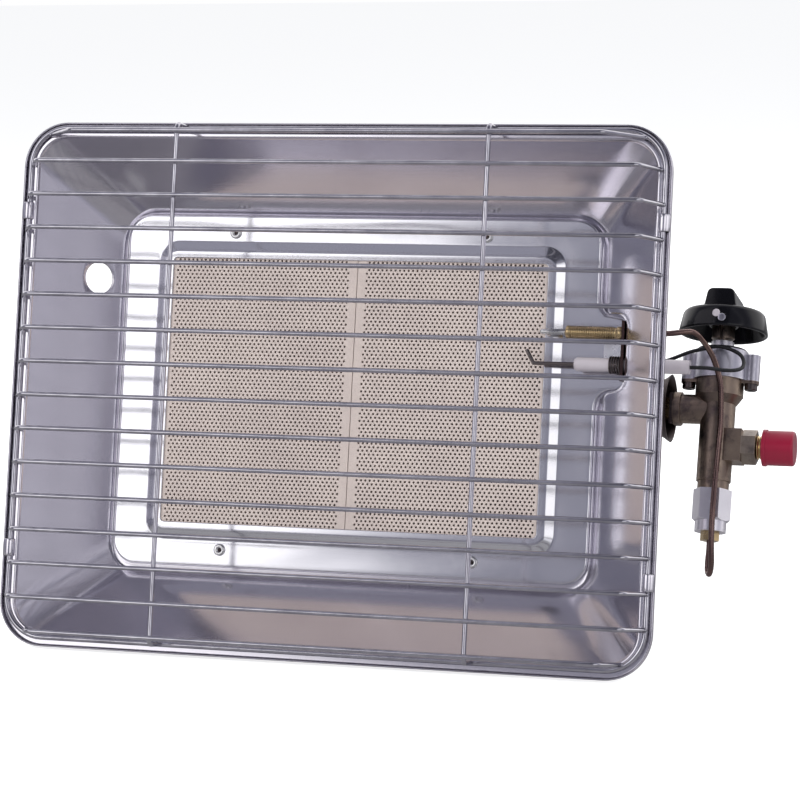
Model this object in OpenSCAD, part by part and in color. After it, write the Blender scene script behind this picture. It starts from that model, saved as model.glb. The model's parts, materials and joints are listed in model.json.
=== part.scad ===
// Portable propane heater: sheet reflector with a ceramic burner, wire guard,
// flame failure valve, ignition and a folding wire stand. Millimetres, +Z up,
// the heater faces -Y. Origin: middle of the footprint, on the ground.

/* [Reflector] */
// Overall width of the reflector
reflector_w = 352; // [320:1:400]
// Overall height of the reflector
reflector_h = 279; // [255:1:320]
// How far the heater leans back on its lower edge, degrees
lean = 15; // [5:1:25]
// Outer corner radius of the reflector
rim_r = 24; // [20:0.5:34]
// Thickness of every pressed sheet part
sheet_t = 0.8; // [0.6:0.1:1.2]
// Width of the gutter that holds the guard ring
gutter_w = 6; // [5.6:0.1:9]
// Depth of the gutter
gutter_d = 8; // [7:0.5:12]
// Outer bend radius of the gutter
gutter_r = 2; // [1.4:0.1:2.6]
// Lip edge in front of the guard ring's centre
lip_rise = 0.5; // [0:0.1:1]
// Centre line radius of the two beads inside the gutter
bead_r = 0.8; // [0.6:0.1:1.2]
// Crest of the beads behind the guard ring's centre
bead_drop = 0.5; // [0.2:0.1:1.5]
// Straight flank between a bead and the groove beside it
bead_flank = 0.9; // [0.5:0.1:1.5]
// Start of the sloping wall behind the guard ring's centre
mouth_d = 4; // [3.6:0.1:6]
// Depth of the bowl, guard ring's centre to bowl floor
bowl_d = 47; // [44:0.5:60]
// Inward run of the sloping wall
wall_run = 31; // [22:0.5:40]
// Corner radius of the bowl floor
floor_r = 14.5; // [12:0.5:20]
// Diameter of the round hole in the left wall
wall_hole_d = 17; // [10:0.5:22]
// Height of the round hole above the reflector's centre
wall_hole_y = 60; // [40:1:70]
// Distance of the round hole from the mouth, down the wall
wall_hole_in = 36; // [20:0.5:38]
// Outward depth of the pocket in the right wall
pocket_out = 17.6; // [12:0.2:18]
// Lower side of the pocket, above the reflector's centre
pocket_y = 7; // [5:0.5:10]
// Height of the pocket
pocket_h = 40; // [38:0.5:46]
// Corner radius of the pocket, inside and outside
pocket_r = 8; // [5:0.5:10]

/* [Guard] */
// Wire diameter of the guard ring
ring_d = 3; // [2.5:0.1:3.5]
// Wire diameter of bars and uprights
bar_d = 2.5; // [2:0.1:3]
// Number of horizontal bars
bar_count = 16; // [14:1:17]
// Distance between bars
bar_pitch = 17.7; // [16:0.1:17.8]
// Distance of the bars in front of the ring
bar_z = 18.6; // [14:0.1:26]
// Sideways run of a bar's bent end
bar_run = 8.6; // [6:0.1:12]
// Bend radius of the bars
bar_bend = 5; // [3:0.5:6]
// Bend radius of the uprights
upright_bend = 3; // [2.5:0.1:4]
// Distance of the uprights from the centre
upright_x = 84; // [60:1:110]
// Guard ring above the reflector's centre
guard_y = 1.1; // [0:0.1:1.1]
// Bars above the guard ring's centre
bars_up = 0.5; // [0:0.1:1]
// Width of a clip tab
clip_w = 8; // [6:0.5:12]
// Height of the clip tabs above and below the centre
clip_y = 90; // [60:1:100]

/* [Burner] */
// Burner above the reflector's centre
burner_y = 1.5; // [0:0.1:1.8]
// Height of the burner frame's front above the bowl floor
tray_d = 3.3; // [3.1:0.1:4]
// Gap between the bowl floor's edge and the burner frame
tray_gap = 2; // [1.8:0.1:3]
// Flat of the burner frame left and right of the window
tray_side = 27.2; // [24:0.2:32]
// Flat of the burner frame above and below the window
tray_band = 23.4; // [22:0.2:28]
// Corner radius of the burner window
window_r = 2.3; // [1.5:0.1:4]
// Width of the raised land round the window
land_w = 9.6; // [8:0.1:10.5]
// Rise of that land
land_rise = 2; // [1:0.1:3]
// Width of the land's sloping edge
land_run = 4.5; // [3:0.1:6]
// Thickness of the ceramic tiles
tile_t = 13; // [10:0.5:14]
// Overlap of the tiles behind the window's edge
tile_lap = 2.8; // [2:0.1:4]
// Joint between the two tiles
tile_seam = 0.4; // [0.2:0.1:0.8]
// Thickness of the fibre gasket round the tiles
gasket_t = 4.2; // [3:0.1:5]
// Thickness of the gasket's foot under the tiles
gasket_foot = 2.2; // [1.5:0.1:3]
// Width of the flange round the burner box
flange_w = 14; // [12:0.2:15]
// Width of the step in the burner box
ledge_w = 5.2; // [4:0.1:8]
// Depth of the burner box, bowl floor to its back
box_d = 37; // [35:0.5:44]
// Hole diameter of the gas diffuser
diffuser_hole_d = 8; // [4:0.5:12]
// Hole pitch of the gas diffuser
diffuser_pitch = 18; // [16:1:24]
// Body diameter of the blind rivets and self tapping screws
rivet_d = 3.2; // [2.4:0.1:4]
// Head diameter of the blind rivets
rivet_head_d = 6.5; // [5.5:0.1:7.5]
// Sideways position of the rivets
rivet_x = 70; // [50:1:90]
// Distance of the rivets from the frame's edge
rivet_edge = 9.4; // [8.5:0.1:10]

/* [Gas path] */
// Distance of the venturi's axis behind the bowl floor
venturi_z = 24.7; // [23:0.1:26]
// Outer diameter of the venturi tube
venturi_d = 22; // [16:0.5:23]
// Length of the venturi tube inside the box
venturi_in = 66; // [40:1:90]
// Outer diameter of the venturi's air inlet
horn_d = 35.6; // [28:0.2:36.4]
// Length of the venturi's flared inlet
horn_len = 19.5; // [14:0.5:24]
// Distance from the horn to the jet's bracket
horn_gap = 0.5; // [0.4:0.1:4]
// Thickness of brackets
bracket_t = 1.5; // [1:0.1:2]
// Height of the jet's bracket
strap_h = 16; // [16:0.5:24]
// Across flats of the jet
jet_af = 11; // [9:0.5:13]
// Diameter of the gas outlet pipe
outlet_d = 15.4; // [11:0.1:16]

/* [Valve] */
// Distance of the valve's axis from the reflector's side
valve_gap = 15.3; // [14:0.1:30]
// Lean of the valve against the reflector, degrees
valve_tilt = 8; // [0:1:10]
// Diameter of the valve's main tube
valve_d = 18; // [14:0.1:19]
// Bottom of the main tube below the outlet
valve_low = 42.4; // [34:0.1:46]
// Top of the brass body above the outlet
valve_top = 15.5; // [12:0.1:20]
// Diameter of the brass shoulder
shoulder_d = 25; // [20:0.5:25]
// Diameter of the valve head
head_d = 28.6; // [25:0.1:31]
// Height of the valve head
head_h = 16.6; // [12:0.1:20]
// Distance of the head screws from the axis
lobe_x = 16.3; // [15:0.1:18]
// Diameter of the head's screw lobes
lobe_d = 8.3; // [7.6:0.1:9]
// Across flats of the magnet unit's nut
magnet_af = 17.5; // [16:0.5:19]
// Inlet branch below the outlet
inlet_drop = 19.2; // [15:0.1:24]
// Outer diameter of the inlet thread
thread_d = 13.16; // [12:0.01:16]
// Length of the inlet thread
thread_len = 12.8; // [10:0.1:18]
// Outer diameter of the dust cap
cap_d = 18.2; // [17:0.1:20]
// Wall of the dust cap
cap_wall = 2.4; // [1.6:0.1:2.4]
// Travel that takes the dust cap off
cap_travel = 22; // [18:1:40]

/* [Knob] */
// Diameter of the knob's skirt
knob_d = 46.5; // [36:0.5:48]
// Diameter of the knob's top
knob_top_d = 41; // [30:0.5:42]
// Height of the knob's skirt
skirt_h = 12.3; // [9:0.1:14]
// Height of the knob with its grip
knob_h = 21.8; // [19:0.1:28]
// Width of the grip at its foot
grip_foot = 16; // [15:0.5:22]
// Width of the grip at its top
grip_top = 11.5; // [9:0.5:14]
// Gap between valve head and knob
knob_gap = 8.1; // [6:0.1:12]
// Press travel of the knob
knob_travel = 4; // [2:0.1:4.5]
// Turn from off to full flame, degrees
knob_turn = 180; // [90:5:270]
// Diameter of the spindle
spindle_d = 6; // [5:0.5:8]
// Diameter of the spindle's hub
hub_d = 12; // [10:0.5:14]
// Radial clearance of moving parts
run_clear = 0.05; // [0.02:0.01:0.1]

/* [Flame sensing and ignition] */
// Height of the flame sensor above the reflector's centre
sensor_y = 37; // [35:0.5:38]
// Height of the spark electrode above the reflector's centre
spark_y = 20.5; // [19:0.5:22]
// Distance of both above the bowl floor
probe_z = 13; // [11:0.5:16]
// Diameter of the flame sensor's sleeve
sensor_d = 7; // [6:0.1:8]
// Diameter of the electrode's ceramic tube
ceramic_d = 7.3; // [6:0.1:8]
// Length of the ceramic tube
ceramic_len = 60; // [52:1:62]
// Diameter of the copper lead
copper_d = 3; // [2:0.1:3.2]
// Diameter of the ignition lead
spark_lead_d = 2; // [1.5:0.1:2.2]

/* [Stand] */
// Wire diameter of the stand
stand_d = 6; // [5:0.5:7]
// Distance between the stand's legs, centre to centre
stand_w = 168; // [140:1:172]
// Angle of the open stand from upright, degrees
stand_angle = 27; // [20:1:32]
// Height of the stand's pivot above the burner's centre
pivot_y = 26; // [24:0.5:30]
// Distance of the pivot behind the burner box
pivot_back = 11; // [10:0.5:14]
// Diameter of the two mounting holes in the stand's bracket
mount_hole_d = 6.6; // [5.5:0.1:7]
// Distance between the mounting holes
mount_pitch = 60; // [40:1:80]
// Stand-off of the bracket's middle behind the burner box
hat_h = 8; // [6:0.5:8.5]

/* [Output] */
// Part to draw

/* [Hidden] */
$fn = 72;
e = 0.1;
t = sheet_t;
fit = 0.02;
part_gap = 0.3;
// rim band
bead_x = gutter_w + bead_r + t / 2;
bead_z = -bead_drop - bead_r - t / 2;
groove_z = bead_z - bead_flank;
band_w = gutter_w + 6 * bead_r + t;
mouth_w = reflector_w - 2 * band_w;
mouth_h = reflector_h - 2 * band_w;
mouth_r = rim_r - band_w;
floor_w = mouth_w - 2 * wall_run;
floor_h = mouth_h - 2 * wall_run;
pocket_x = floor_w / 2 + pocket_out;
wall_a = atan(wall_run / (bowl_d - mouth_d));
// guard
ring_w = reflector_w - 2 * t - ring_d - 2.8;
ring_h = reflector_h - 2 * t - ring_d - 2 * guard_y - 1;
ring_r = rim_r - t - ring_d / 2 - 1.2;
weld = 0.2;
upright_z = bar_z - bar_d + weld;
bar_fall = atan2(bar_z, bar_run);
bar_leg = norm([bar_z, bar_run]) - ring_d / 2 + 2 * weld;
edge_bar_y = (bar_count - 1) * bar_pitch / 2;
// burner
tray_w = floor_w - 2 * tray_gap;
tray_h = floor_h - 2 * tray_gap;
tray_r = floor_r - 1.5;
tray_z = -bowl_d + tray_d;
window_w = tray_w - 2 * tray_side;
window_h = tray_h - 2 * tray_band;
rivet_y = tray_h / 2 - rivet_edge;
tile_z = tray_z + land_rise - t - e;
tile_back = tile_z - tile_t;
tile_w = window_w / 2 + tile_lap - tile_seam / 2;
tile_h = window_h + 2 * tile_lap;
box_w = window_w + 2 * (tile_lap + gasket_t + t);
box_h = tile_h + 2 * (gasket_t + t);
box_r = 6;
ledge_z = tile_back - gasket_foot - t;
low_w = box_w - 2 * ledge_w;
low_h = box_h - 2 * ledge_w;
box_z = -bowl_d - box_d;
flange_z = tray_z - t;
// gas path
axis_z = -bowl_d - venturi_z;
valve_x = reflector_w / 2 + valve_gap;
jet_x = valve_x - valve_d / 2 - 13.8;
horn_x = jet_x - bracket_t - horn_gap;
flare_rise = (horn_d - venturi_d) / 2;
flare_a = 2 * atan(flare_rise / horn_len);
flare_r = horn_len / sin(flare_a);
strap_z = axis_z - horn_d / 2 - 1.5;
foot_x = low_w / 2 - 32.3;
// valve, measured along its axis from the outlet
head_top = valve_top + head_h;
knob_s = head_top + knob_gap;
grip_r = 2.5;
collar_s = head_top - 1;
hub_s = head_top + knob_travel + 1.5;
nut_h = 16.4;
nut_s = -valve_low - nut_h;
nut_round = 5.7;
neck_len = 4.4;
sensor_nut_s = nut_s - nut_round - 4.6;
hex_x = 14.2;
nipple_x = hex_x + 7.4;
cap_x = nipple_x + 3.3;
thread_x = cap_x - 0.7;
cap_len = thread_len + 3.6;
ear_t = 1.6;
// probes
bracket_x = pocket_x - 3.5;
probe_level = -bowl_d + probe_z;
ceramic_x = valve_x - 8.8;
rod_out = 22;
rod_in = 18;
// stand and placing
stand_fold = stand_angle + lean;
pivot_z = box_z - pivot_back;
pivot_up = burner_y + pivot_y;
ear_x = stand_w / 2 + stand_d + 1.2;
lift = (reflector_h / 2 - gutter_r) * cos(lean) + (gutter_d - gutter_r) * sin(lean) + gutter_r;
pivot_height = lift + pivot_up * cos(lean) + pivot_z * sin(lean);
stand_len = (pivot_height - stand_d / 2) / cos(stand_angle);
front_y = (guard_y + bars_up - edge_bar_y) * sin(lean) - bar_z * cos(lean) - bar_d / 2;
back_y = pivot_up * sin(lean) - pivot_z * cos(lean) + stand_len * sin(stand_angle) + stand_d / 2;
side_x = valve_x + cap_x + cap_len;
mid_x = (side_x - reflector_w / 2) / 2;
mid_y = (front_y + back_y) / 2;

// socket of the ignition lead in the valve head
plug_x = -11;
plug_s = valve_top + 10.6;
plug_back = head_d / 2 - 2.4;
plug_y = burner_y + plug_s * cos(valve_tilt) - plug_back * sin(valve_tilt);
plug_z = axis_z - plug_s * sin(valve_tilt) - plug_back * cos(valve_tilt);

// routes of the copper lead and the ignition lead: right of the valve's axis, up,
// forward of the probes or of the axis
copper_start = [[-38, sensor_y, 0], [-32, sensor_y, 0], [-20.5, 37.6, -0.5], [-11, 39, -4]];
copper_end = [[-7.6, 38.3, 30.7], [-5, 35.3, 25.7], [-2, 30.4, 20.7], [0, 25.8, 17.7], [2, 19.5, 15.7],
    [3.4, 11.3, 14.2], [3.8, -4.4, 13.2], [3.4, -15.9, 13.6], [3, -26.6, 14.8], [2.8, -37.9, 17.2],
    [2.8, -50.4, 19.7], [2.9, -62.8, 20.9], [3.1, -71.5, 20.6], [3.2, -78, 19.3], [2.4, -82.6, 16.9],
    [0.9, -84, 14.3], [-0.9, -82.4, 12], [-1.4, -78, 11], [-0.6, -73, 10.5], [0, -68, 9.8], [0, -61, 8.8]];
spark_start = [[-14, spark_y, 0], [-8, spark_y, -0.1], [0, 20.6, -2], [6.6, 20.1, -6]];
spark_end = [[12.3, 20.5, 26.7], [15.3, 22.4, 21.7], [15.2, 26.1, 17.7], [12.3, 29.9, 14.9],
    [5.5, 32.9, 13.9], [0, 33.5, 13.7], [-7, 32, 13.7], [-14.3, 30.2, 12.7], [-25, 26.3, 9.7],
    [-33, 25, 4.7], [-36.5, 24.8, -2.3], [-35.5, 25, -8.8], [-31, 25.4, -13.2]];
copper_pts = [for (p = copper_start) p + [valve_x, 0, probe_level], for (p = copper_end) p + [valve_x, 0, axis_z]];
spark_pts = [for (p = spark_start) p + [valve_x, 0, probe_level], for (p = spark_end) p + [valve_x, 0, axis_z],
    for (x = [-25, -19, -13]) [valve_x + x, plug_y, plug_z]];

// ---- helpers ----

module stand_up() {
    translate([-mid_x, -mid_y, lift]) rotate([90 - lean, 0, 0]) children();
}

module rrect(w, h, r) {
    square([w - 2 * r, h], center = true);
    square([w, h - 2 * r], center = true);
    for (x = [-1, 1], y = [-1, 1])
        translate([x * (w / 2 - r), y * (h / 2 - r)]) circle(r);
}

module slab(w, h, r, z, thick, y = burner_y) {
    translate([0, y, z]) linear_extrude(thick) rrect(w, h, r);
}

// sweeps a profile round a rounded rectangle: x outward from the path, y forward
module rect_sweep(w, h, r) {
    for (i = [0:3]) {
        a = i % 2 == 0 ? w : h;
        b = i % 2 == 0 ? h : w;
        rotate([0, 0, 90 * i]) {
            translate([a / 2, b / 2 - r, 0]) rotate([90, 0, 0]) linear_extrude(b - 2 * r) children();
            translate([a / 2 - r, b / 2 - r, 0]) rotate_extrude(angle = 90) translate([r, 0]) children();
        }
    }
}

module quarter(ro, ri, q) {
    rotate(90 * q) intersection() {
        difference() {
            circle(ro);
            circle(ri);
        }
        square(ro + 1);
    }
}

module rod_x(d, x0, x1, y, z) {
    translate([x0, y, z]) rotate([0, 90, 0]) cylinder(d = d, h = x1 - x0);
}

module rod_z(d, x, y, z0, z1) {
    translate([x, y, z0]) cylinder(d = d, h = z1 - z0);
}

module valve_frame() {
    translate([valve_x, burner_y, axis_z]) rotate([-valve_tilt, 0, 0]) children();
}

// along the valve: z is the distance up its axis, -y faces the front
module on_axis() {
    valve_frame() rotate([-90, 0, 0]) children();
}

module ring_bend(d, bend, phi) {
    rotate_extrude(angle = phi) translate([bend, 0]) circle(d = d);
}

module rivet_spots() {
    for (x = [-1, 1], y = [-1, 1])
        translate([x * rivet_x, burner_y + y * rivet_y, 0]) children();
}

function spline(p, i, u) =
    let (a = p[max(i - 1, 0)], b = p[i], c = p[i + 1], d = p[min(i + 2, len(p) - 1)])
    0.5 * (2 * b + (c - a) * u + (2 * a - 5 * b + 4 * c - d) * u ^ 2 + (3 * b - a - 3 * c + d) * u ^ 3);
function fine(p, n) = [for (i = [0:len(p) - 2]) for (k = [0:n - 1]) spline(p, i, k / n), p[len(p) - 1]];
function unit(v) = v / norm(v);
function tangent(q, i) = unit(q[min(i + 1, len(q) - 1)] - q[max(i - 1, 0)]);
function carry(q, i, n) = i >= len(q) ? [] :
    let (d = tangent(q, i), m = unit(n - (n * d) * d)) concat([m], carry(q, i + 1, m));

// round wire of s sides through the points q, n is square to its start
module sweep(q, d, s, n) {
    f = carry(q, 0, n);
    pl = [for (i = [0:len(q) - 1]) let (m = f[i], b = cross(tangent(q, i), m))
        for (k = [0:s - 1]) q[i] + d / 2 * (cos(360 * k / s) * m + sin(360 * k / s) * b)];
    last = (len(q) - 1) * s;
    sides = [for (i = [0:len(q) - 2]) for (k = [0:s - 1])
        let (a = i * s + k, b = i * s + (k + 1) % s) each [[a, a + s, b], [b, a + s, b + s]]];
    polyhedron(points = pl, faces = concat(sides, [[for (k = [0:s - 1]) k]],
        [[for (k = [s - 1:-1:0]) last + k]]));
}

module lead(pts, d) {
    sweep(fine(pts, 3), d, 8, [0, 1, 0.3]);
}

// ---- reflector ----

module rim_profile() {
    ro = bead_r + t / 2;
    ri = bead_r - t / 2;
    translate([-t, gutter_r - gutter_d]) square([t, gutter_d - gutter_r + lip_rise]);
    translate([-gutter_r, gutter_r - gutter_d]) quarter(gutter_r, gutter_r - t, 3);
    translate([-gutter_w - t + gutter_r, -gutter_d]) square([gutter_w + t - 2 * gutter_r, t]);
    translate([-gutter_w - t + gutter_r, gutter_r - gutter_d]) quarter(gutter_r, gutter_r - t, 2);
    translate([-gutter_w - t, gutter_r - gutter_d]) square([t, gutter_d - gutter_r + bead_z]);
    translate([-bead_x, bead_z]) {
        quarter(ro, ri, 0);
        quarter(ro, ri, 1);
    }
    for (k = [1, 3])
        translate([-bead_x - k * bead_r - t / 2, groove_z]) square([t, bead_flank]);
    translate([-bead_x - 2 * bead_r, groove_z]) {
        quarter(ro, ri, 2);
        quarter(ro, ri, 3);
    }
    translate([-bead_x - 4 * bead_r, bead_z]) {
        quarter(ro, ri, 0);
        quarter(ro, ri, 1);
    }
    translate([-band_w, -mouth_d - t / 2]) square([t, mouth_d + t / 2 + bead_z]);
}

// outline of the pocket, g larger all round
module pocket_plan(g) {
    fx = floor_w / 2 + g;
    top = pocket_h + 2 * g;
    translate([fx - 8, pocket_y - g]) {
        square([pocket_out + 8 - pocket_r - g, top]);
        translate([0, pocket_r + g]) square([pocket_out + 8, top - 2 * pocket_r - 2 * g]);
        for (y = [pocket_r + g, top - pocket_r - g])
            translate([pocket_out + 8 - pocket_r - g, y]) circle(pocket_r + g);
    }
    for (s = [0, 1])
        translate([fx, pocket_y + pocket_h / 2]) mirror([0, s]) translate([0, pocket_h / 2 + g])
            difference() {
                translate([-1, -1]) square(pocket_r - g + 1);
                translate([pocket_r - g, pocket_r - g]) circle(pocket_r - g);
            }
}

module bowl(w, h, r, fw, fh, fr, z0, z1) {
    hull() {
        translate([0, 0, z1 - e]) linear_extrude(e) rrect(w, h, r, $fn = 32);
        translate([0, 0, z0]) linear_extrude(e) rrect(fw, fh, fr, $fn = 32);
    }
}

module clip_tab(side, y) {
    top = ring_d / 2 + fit;
    r = 2;
    x0 = reflector_w / 2;
    len = 6.5;
    mirror([side < 0 ? 1 : 0, 0, 0]) translate([x0, y + clip_w / 2, 0]) rotate([90, 0, 0])
        linear_extrude(clip_w) {
            translate([-t, -1]) square([t, top + t - r + 1]);
            translate([-r, top + t - r]) quarter(r, r - t, 0);
            translate([-len, top]) square([len - r, t]);
            translate([-len, top + t - 1.4]) quarter(1.4, 1.4 - t, 1);
        }
}

module reflector() {
    color("silver") stand_up() {
        difference() {
            union() {
                bowl(mouth_w + 2 * t, mouth_h + 2 * t, mouth_r + t,
                    floor_w + 2 * t, floor_h + 2 * t, floor_r + t, -bowl_d - t, -mouth_d);
                translate([0, 0, -bowl_d - t]) linear_extrude(bowl_d - 12) pocket_plan(t);
            }
            bowl(mouth_w, mouth_h, mouth_r, floor_w, floor_h, floor_r, -bowl_d, -mouth_d + e);
            translate([0, 0, -bowl_d]) linear_extrude(bowl_d - 11) pocket_plan(0);
            slab(box_w + 2, box_h + 2, box_r + 1, -bowl_d - 5, 9);
            rivet_spots() rod_z(rivet_d + 2 * run_clear, 0, 0, -bowl_d - 2, -bowl_d + 2);
            // round hole in the left wall, square to it
            translate([wall_hole_in * sin(wall_a) - mouth_w / 2, wall_hole_y, -mouth_d - wall_hole_in * cos(wall_a)])
                rotate([0, 90 - wall_a, 0])
                    cylinder(d = wall_hole_d, h = 14, center = true);
            rod_x(sensor_d, pocket_x - 6, pocket_x + 6, sensor_y, probe_level);
            rod_x(ceramic_d + 1, pocket_x - 6, pocket_x + 6, spark_y, probe_level);
        }
        rect_sweep(reflector_w, reflector_h, rim_r) rim_profile();
        for (s = [-1, 1], y = [-1, 1]) clip_tab(s, y * clip_y + (s < 0 ? 2 : 0));
    }
}

// ---- guard ----

// sideways reach of the ring at a height from its centre, 2 less in its corners
function ring_reach(y) = let (up = abs(y) - ring_h / 2 + ring_r)
    up <= 0 ? ring_w / 2 : ring_w / 2 - ring_r - 2 + sqrt(ring_r ^ 2 - up ^ 2);

module guard_ring() {
    color("lightgray") stand_up() translate([0, guard_y, 0])
        rect_sweep(ring_w, ring_h, ring_r) circle(d = ring_d);
}

// bar with both ends bent back to the ring; half is the corner of the bend
module bent_bar(half, leg) {
    c = half - bar_bend * tan(bar_fall / 2);
    foot = [half + leg * cos(bar_fall), 0, bar_z - leg * sin(bar_fall)];
    right = concat([for (a = [0:bar_fall / 4:bar_fall + e])
        [c + bar_bend * sin(a), 0, bar_z - bar_bend * (1 - cos(a))]], [foot]);
    n = len(right);
    sweep([for (i = [0:2 * n - 1]) i < n ? [-right[n - 1 - i][0], 0, right[n - 1 - i][2]] : right[i - n]],
        bar_d, 10, [0, 1, 0]);
}

module guard_bars() {
    color("lightgray") stand_up() for (i = [0:bar_count - 1]) {
        y = i * bar_pitch - edge_bar_y + bars_up;
        translate([0, guard_y + y, 0]) bent_bar(ring_reach(y) - bar_run, bar_leg);
    }
}

module guard_uprights() {
    half = ring_h / 2;
    r = upright_bend;
    color("lightgray") stand_up() for (x = [-1, 1]) translate([x * upright_x, guard_y, 0]) {
        translate([0, half - r, upright_z]) rotate([90, 0, 0]) cylinder(d = bar_d, h = 2 * (half - r));
        for (s = [0, 1]) mirror([0, s, 0]) {
            translate([0, half - r, upright_z - r]) rotate([0, -90, 0]) ring_bend(bar_d, r, 90);
            rod_z(bar_d, 0, half, ring_d / 2 - 2 * weld, upright_z - r);
        }
    }
}

// ---- burner ----

module tray_plan(inset) {
    translate([0, burner_y]) rrect(tray_w - 2 * inset, tray_h - 2 * inset, tray_r - inset);
    pocket_plan(-tray_gap - inset);
}

module burner_frame() {
    r = window_r + land_w;
    color("gainsboro") stand_up() {
        difference() {
            translate([0, 0, -bowl_d]) linear_extrude(tray_d) tray_plan(0);
            translate([0, 0, -bowl_d - 1]) linear_extrude(tray_d - t + 1) tray_plan(t);
            slab(window_w + 2 * land_w, window_h + 2 * land_w, r, tray_z - 5, 9);
            rivet_spots() rod_z(rivet_d + 2 * run_clear, 0, 0, tray_z - 3, tray_z + 3);
        }
        translate([0, burner_y, tray_z]) rect_sweep(window_w + 2 * land_w, window_h + 2 * land_w, r)
            polygon([[0.3, 0], [0, 0], [-land_run, land_rise], [-land_w, land_rise],
                [-land_w, land_rise - t], [-land_run - 0.2, land_rise - t], [-0.2, -t], [0.3, -t]]);
    }
}

module frame_rivets() {
    h = 1.7;
    r = ((rivet_head_d / 2) ^ 2 + h ^ 2) / (2 * h);
    color("gainsboro") stand_up() rivet_spots() difference() {
        union() {
            intersection() {
                translate([0, 0, tray_z + h - r]) sphere(r);
                rod_z(rivet_head_d + 1, 0, 0, tray_z, tray_z + h + 1);
            }
            rod_z(rivet_d, 0, 0, -bowl_d - t - 0.5, tray_z + e);
            rod_z(rivet_d + 2, 0, 0, -bowl_d - t - 4.5, -bowl_d - t);
        }
        rod_z(1.8, 0, 0, -bowl_d - 3, tray_z + 5);
    }
}

module tile(s) {
    color("wheat") stand_up()
        translate([s > 0 ? tile_seam / 2 : -tile_seam / 2 - tile_w, burner_y - tile_h / 2, tile_back])
            cube([tile_w, tile_h, tile_t]);
}

module tile_left() {
    tile(-1);
}

module tile_right() {
    tile(1);
}

module tile_gasket() {
    w = box_w - 2 * t - 2 * e;
    h = box_h - 2 * t - 2 * e;
    color("white") stand_up() difference() {
        slab(w, h, box_r - t, ledge_z + t, tile_z - ledge_z - t - 3);
        translate([0, burner_y, tile_back]) linear_extrude(40)
            square([2 * tile_w + tile_seam + 2 * e, tile_h + 2 * e], center = true);
        slab(window_w - 2, window_h - 2, 2, ledge_z - 5, 30);
    }
}

module frame_gasket() {
    w = box_w + 2 * flange_w;
    h = box_h + 2 * flange_w - 6;
    color("ivory") stand_up() difference() {
        slab(w, h, 8, -bowl_d, flange_z - t + bowl_d);
        slab(box_w + 2, box_h + 2, box_r + 1, -bowl_d - 1, 9);
        rivet_spots() rod_z(rivet_d + 2 * run_clear, 0, 0, -bowl_d - 2, flange_z);
    }
}

module diffuser() {
    nx = floor((low_w - 20) / diffuser_pitch / 2);
    ny = floor((low_h - 20) / diffuser_pitch / 2);
    color("silver") stand_up() difference() {
        slab(box_w - 2 * t - 2 * e, box_h - 2 * t - 2 * e, box_r - t, ledge_z, t);
        for (i = [-nx:nx], j = [-ny:ny])
            rod_z(diffuser_hole_d, i * diffuser_pitch, burner_y + j * diffuser_pitch, ledge_z - 1,
                ledge_z + 2);
    }
}

module back_screw_spots() {
    for (x = [-1, 1], y = [-1, 1])
        translate([x * 78, pivot_up + y * 6, 0]) children();
    for (y = [-4.2, 4.2]) translate([foot_x + 13, burner_y + y, 0]) children();
}

module burner_box() {
    color("silver") stand_up() difference() {
        union() {
            slab(box_w + 2 * flange_w, box_h + 2 * flange_w - 6, 8, flange_z - t, t);
            slab(box_w, box_h, box_r, ledge_z - t, flange_z - ledge_z);
            slab(low_w, low_h, box_r + 2, box_z, ledge_z - box_z);
        }
        slab(box_w - 2 * t, box_h - 2 * t, box_r - t, ledge_z, 60);
        slab(low_w - 2 * t, low_h - 2 * t, box_r + 2 - t, box_z + t, 60);
        rivet_spots() rod_z(rivet_d + 2 * run_clear, 0, 0, flange_z - 3, flange_z + 2);
        back_screw_spots() rod_z(rivet_d + 2 * run_clear, 0, 0, box_z - 2, box_z + 3);
        rod_x(venturi_d + 2 * fit, low_w / 2 - 5, low_w / 2 + 5, burner_y, axis_z);
    }
}

// ---- gas path ----

module venturi() {
    x0 = low_w / 2 - venturi_in;
    x1 = horn_x - horn_len;
    color("silver") stand_up() translate([0, burner_y, axis_z]) rotate([0, 90, 0]) rotate_extrude() {
        translate([venturi_d / 2 - t, x0]) square([t, x1 - x0 + e]);
        translate([venturi_d / 2 - e, low_w / 2 + fit]) square([1, 1.6]);
        translate([venturi_d / 2 + flare_r, x1]) intersection() {
            difference() {
                circle(flare_r + t);
                circle(flare_r);
            }
            translate([-flare_r - 2, 0]) square([flare_rise + 3, horn_len]);
        }
    }
}

// strap profile seen from above: x right, y forward
module jet_bracket() {
    b = bracket_t;
    step_x = low_w / 2 + 6;
    color("silver") stand_up() difference() {
        translate([0, burner_y + strap_h / 2, 0]) rotate([90, 0, 0]) linear_extrude(strap_h)
            polygon([[jet_x - b, axis_z + 8.5], [jet_x, axis_z + 8.5], [jet_x, strap_z],
                [jet_x - 0.4, strap_z - b + 0.4], [jet_x - b, strap_z - b], [step_x - 1, strap_z - b],
                [low_w / 2 - 6, box_z - b], [foot_x, box_z - b], [foot_x, box_z],
                [low_w / 2 - 5, box_z], [step_x - 0.5, strap_z], [jet_x - b, strap_z]]);
        rod_x(jet_af - 2, jet_x - 4, jet_x + 4, burner_y, axis_z);
        back_screw_spots() rod_z(rivet_d + 2 * run_clear, 0, 0, box_z - 4, box_z + 3);
    }
}

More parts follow.
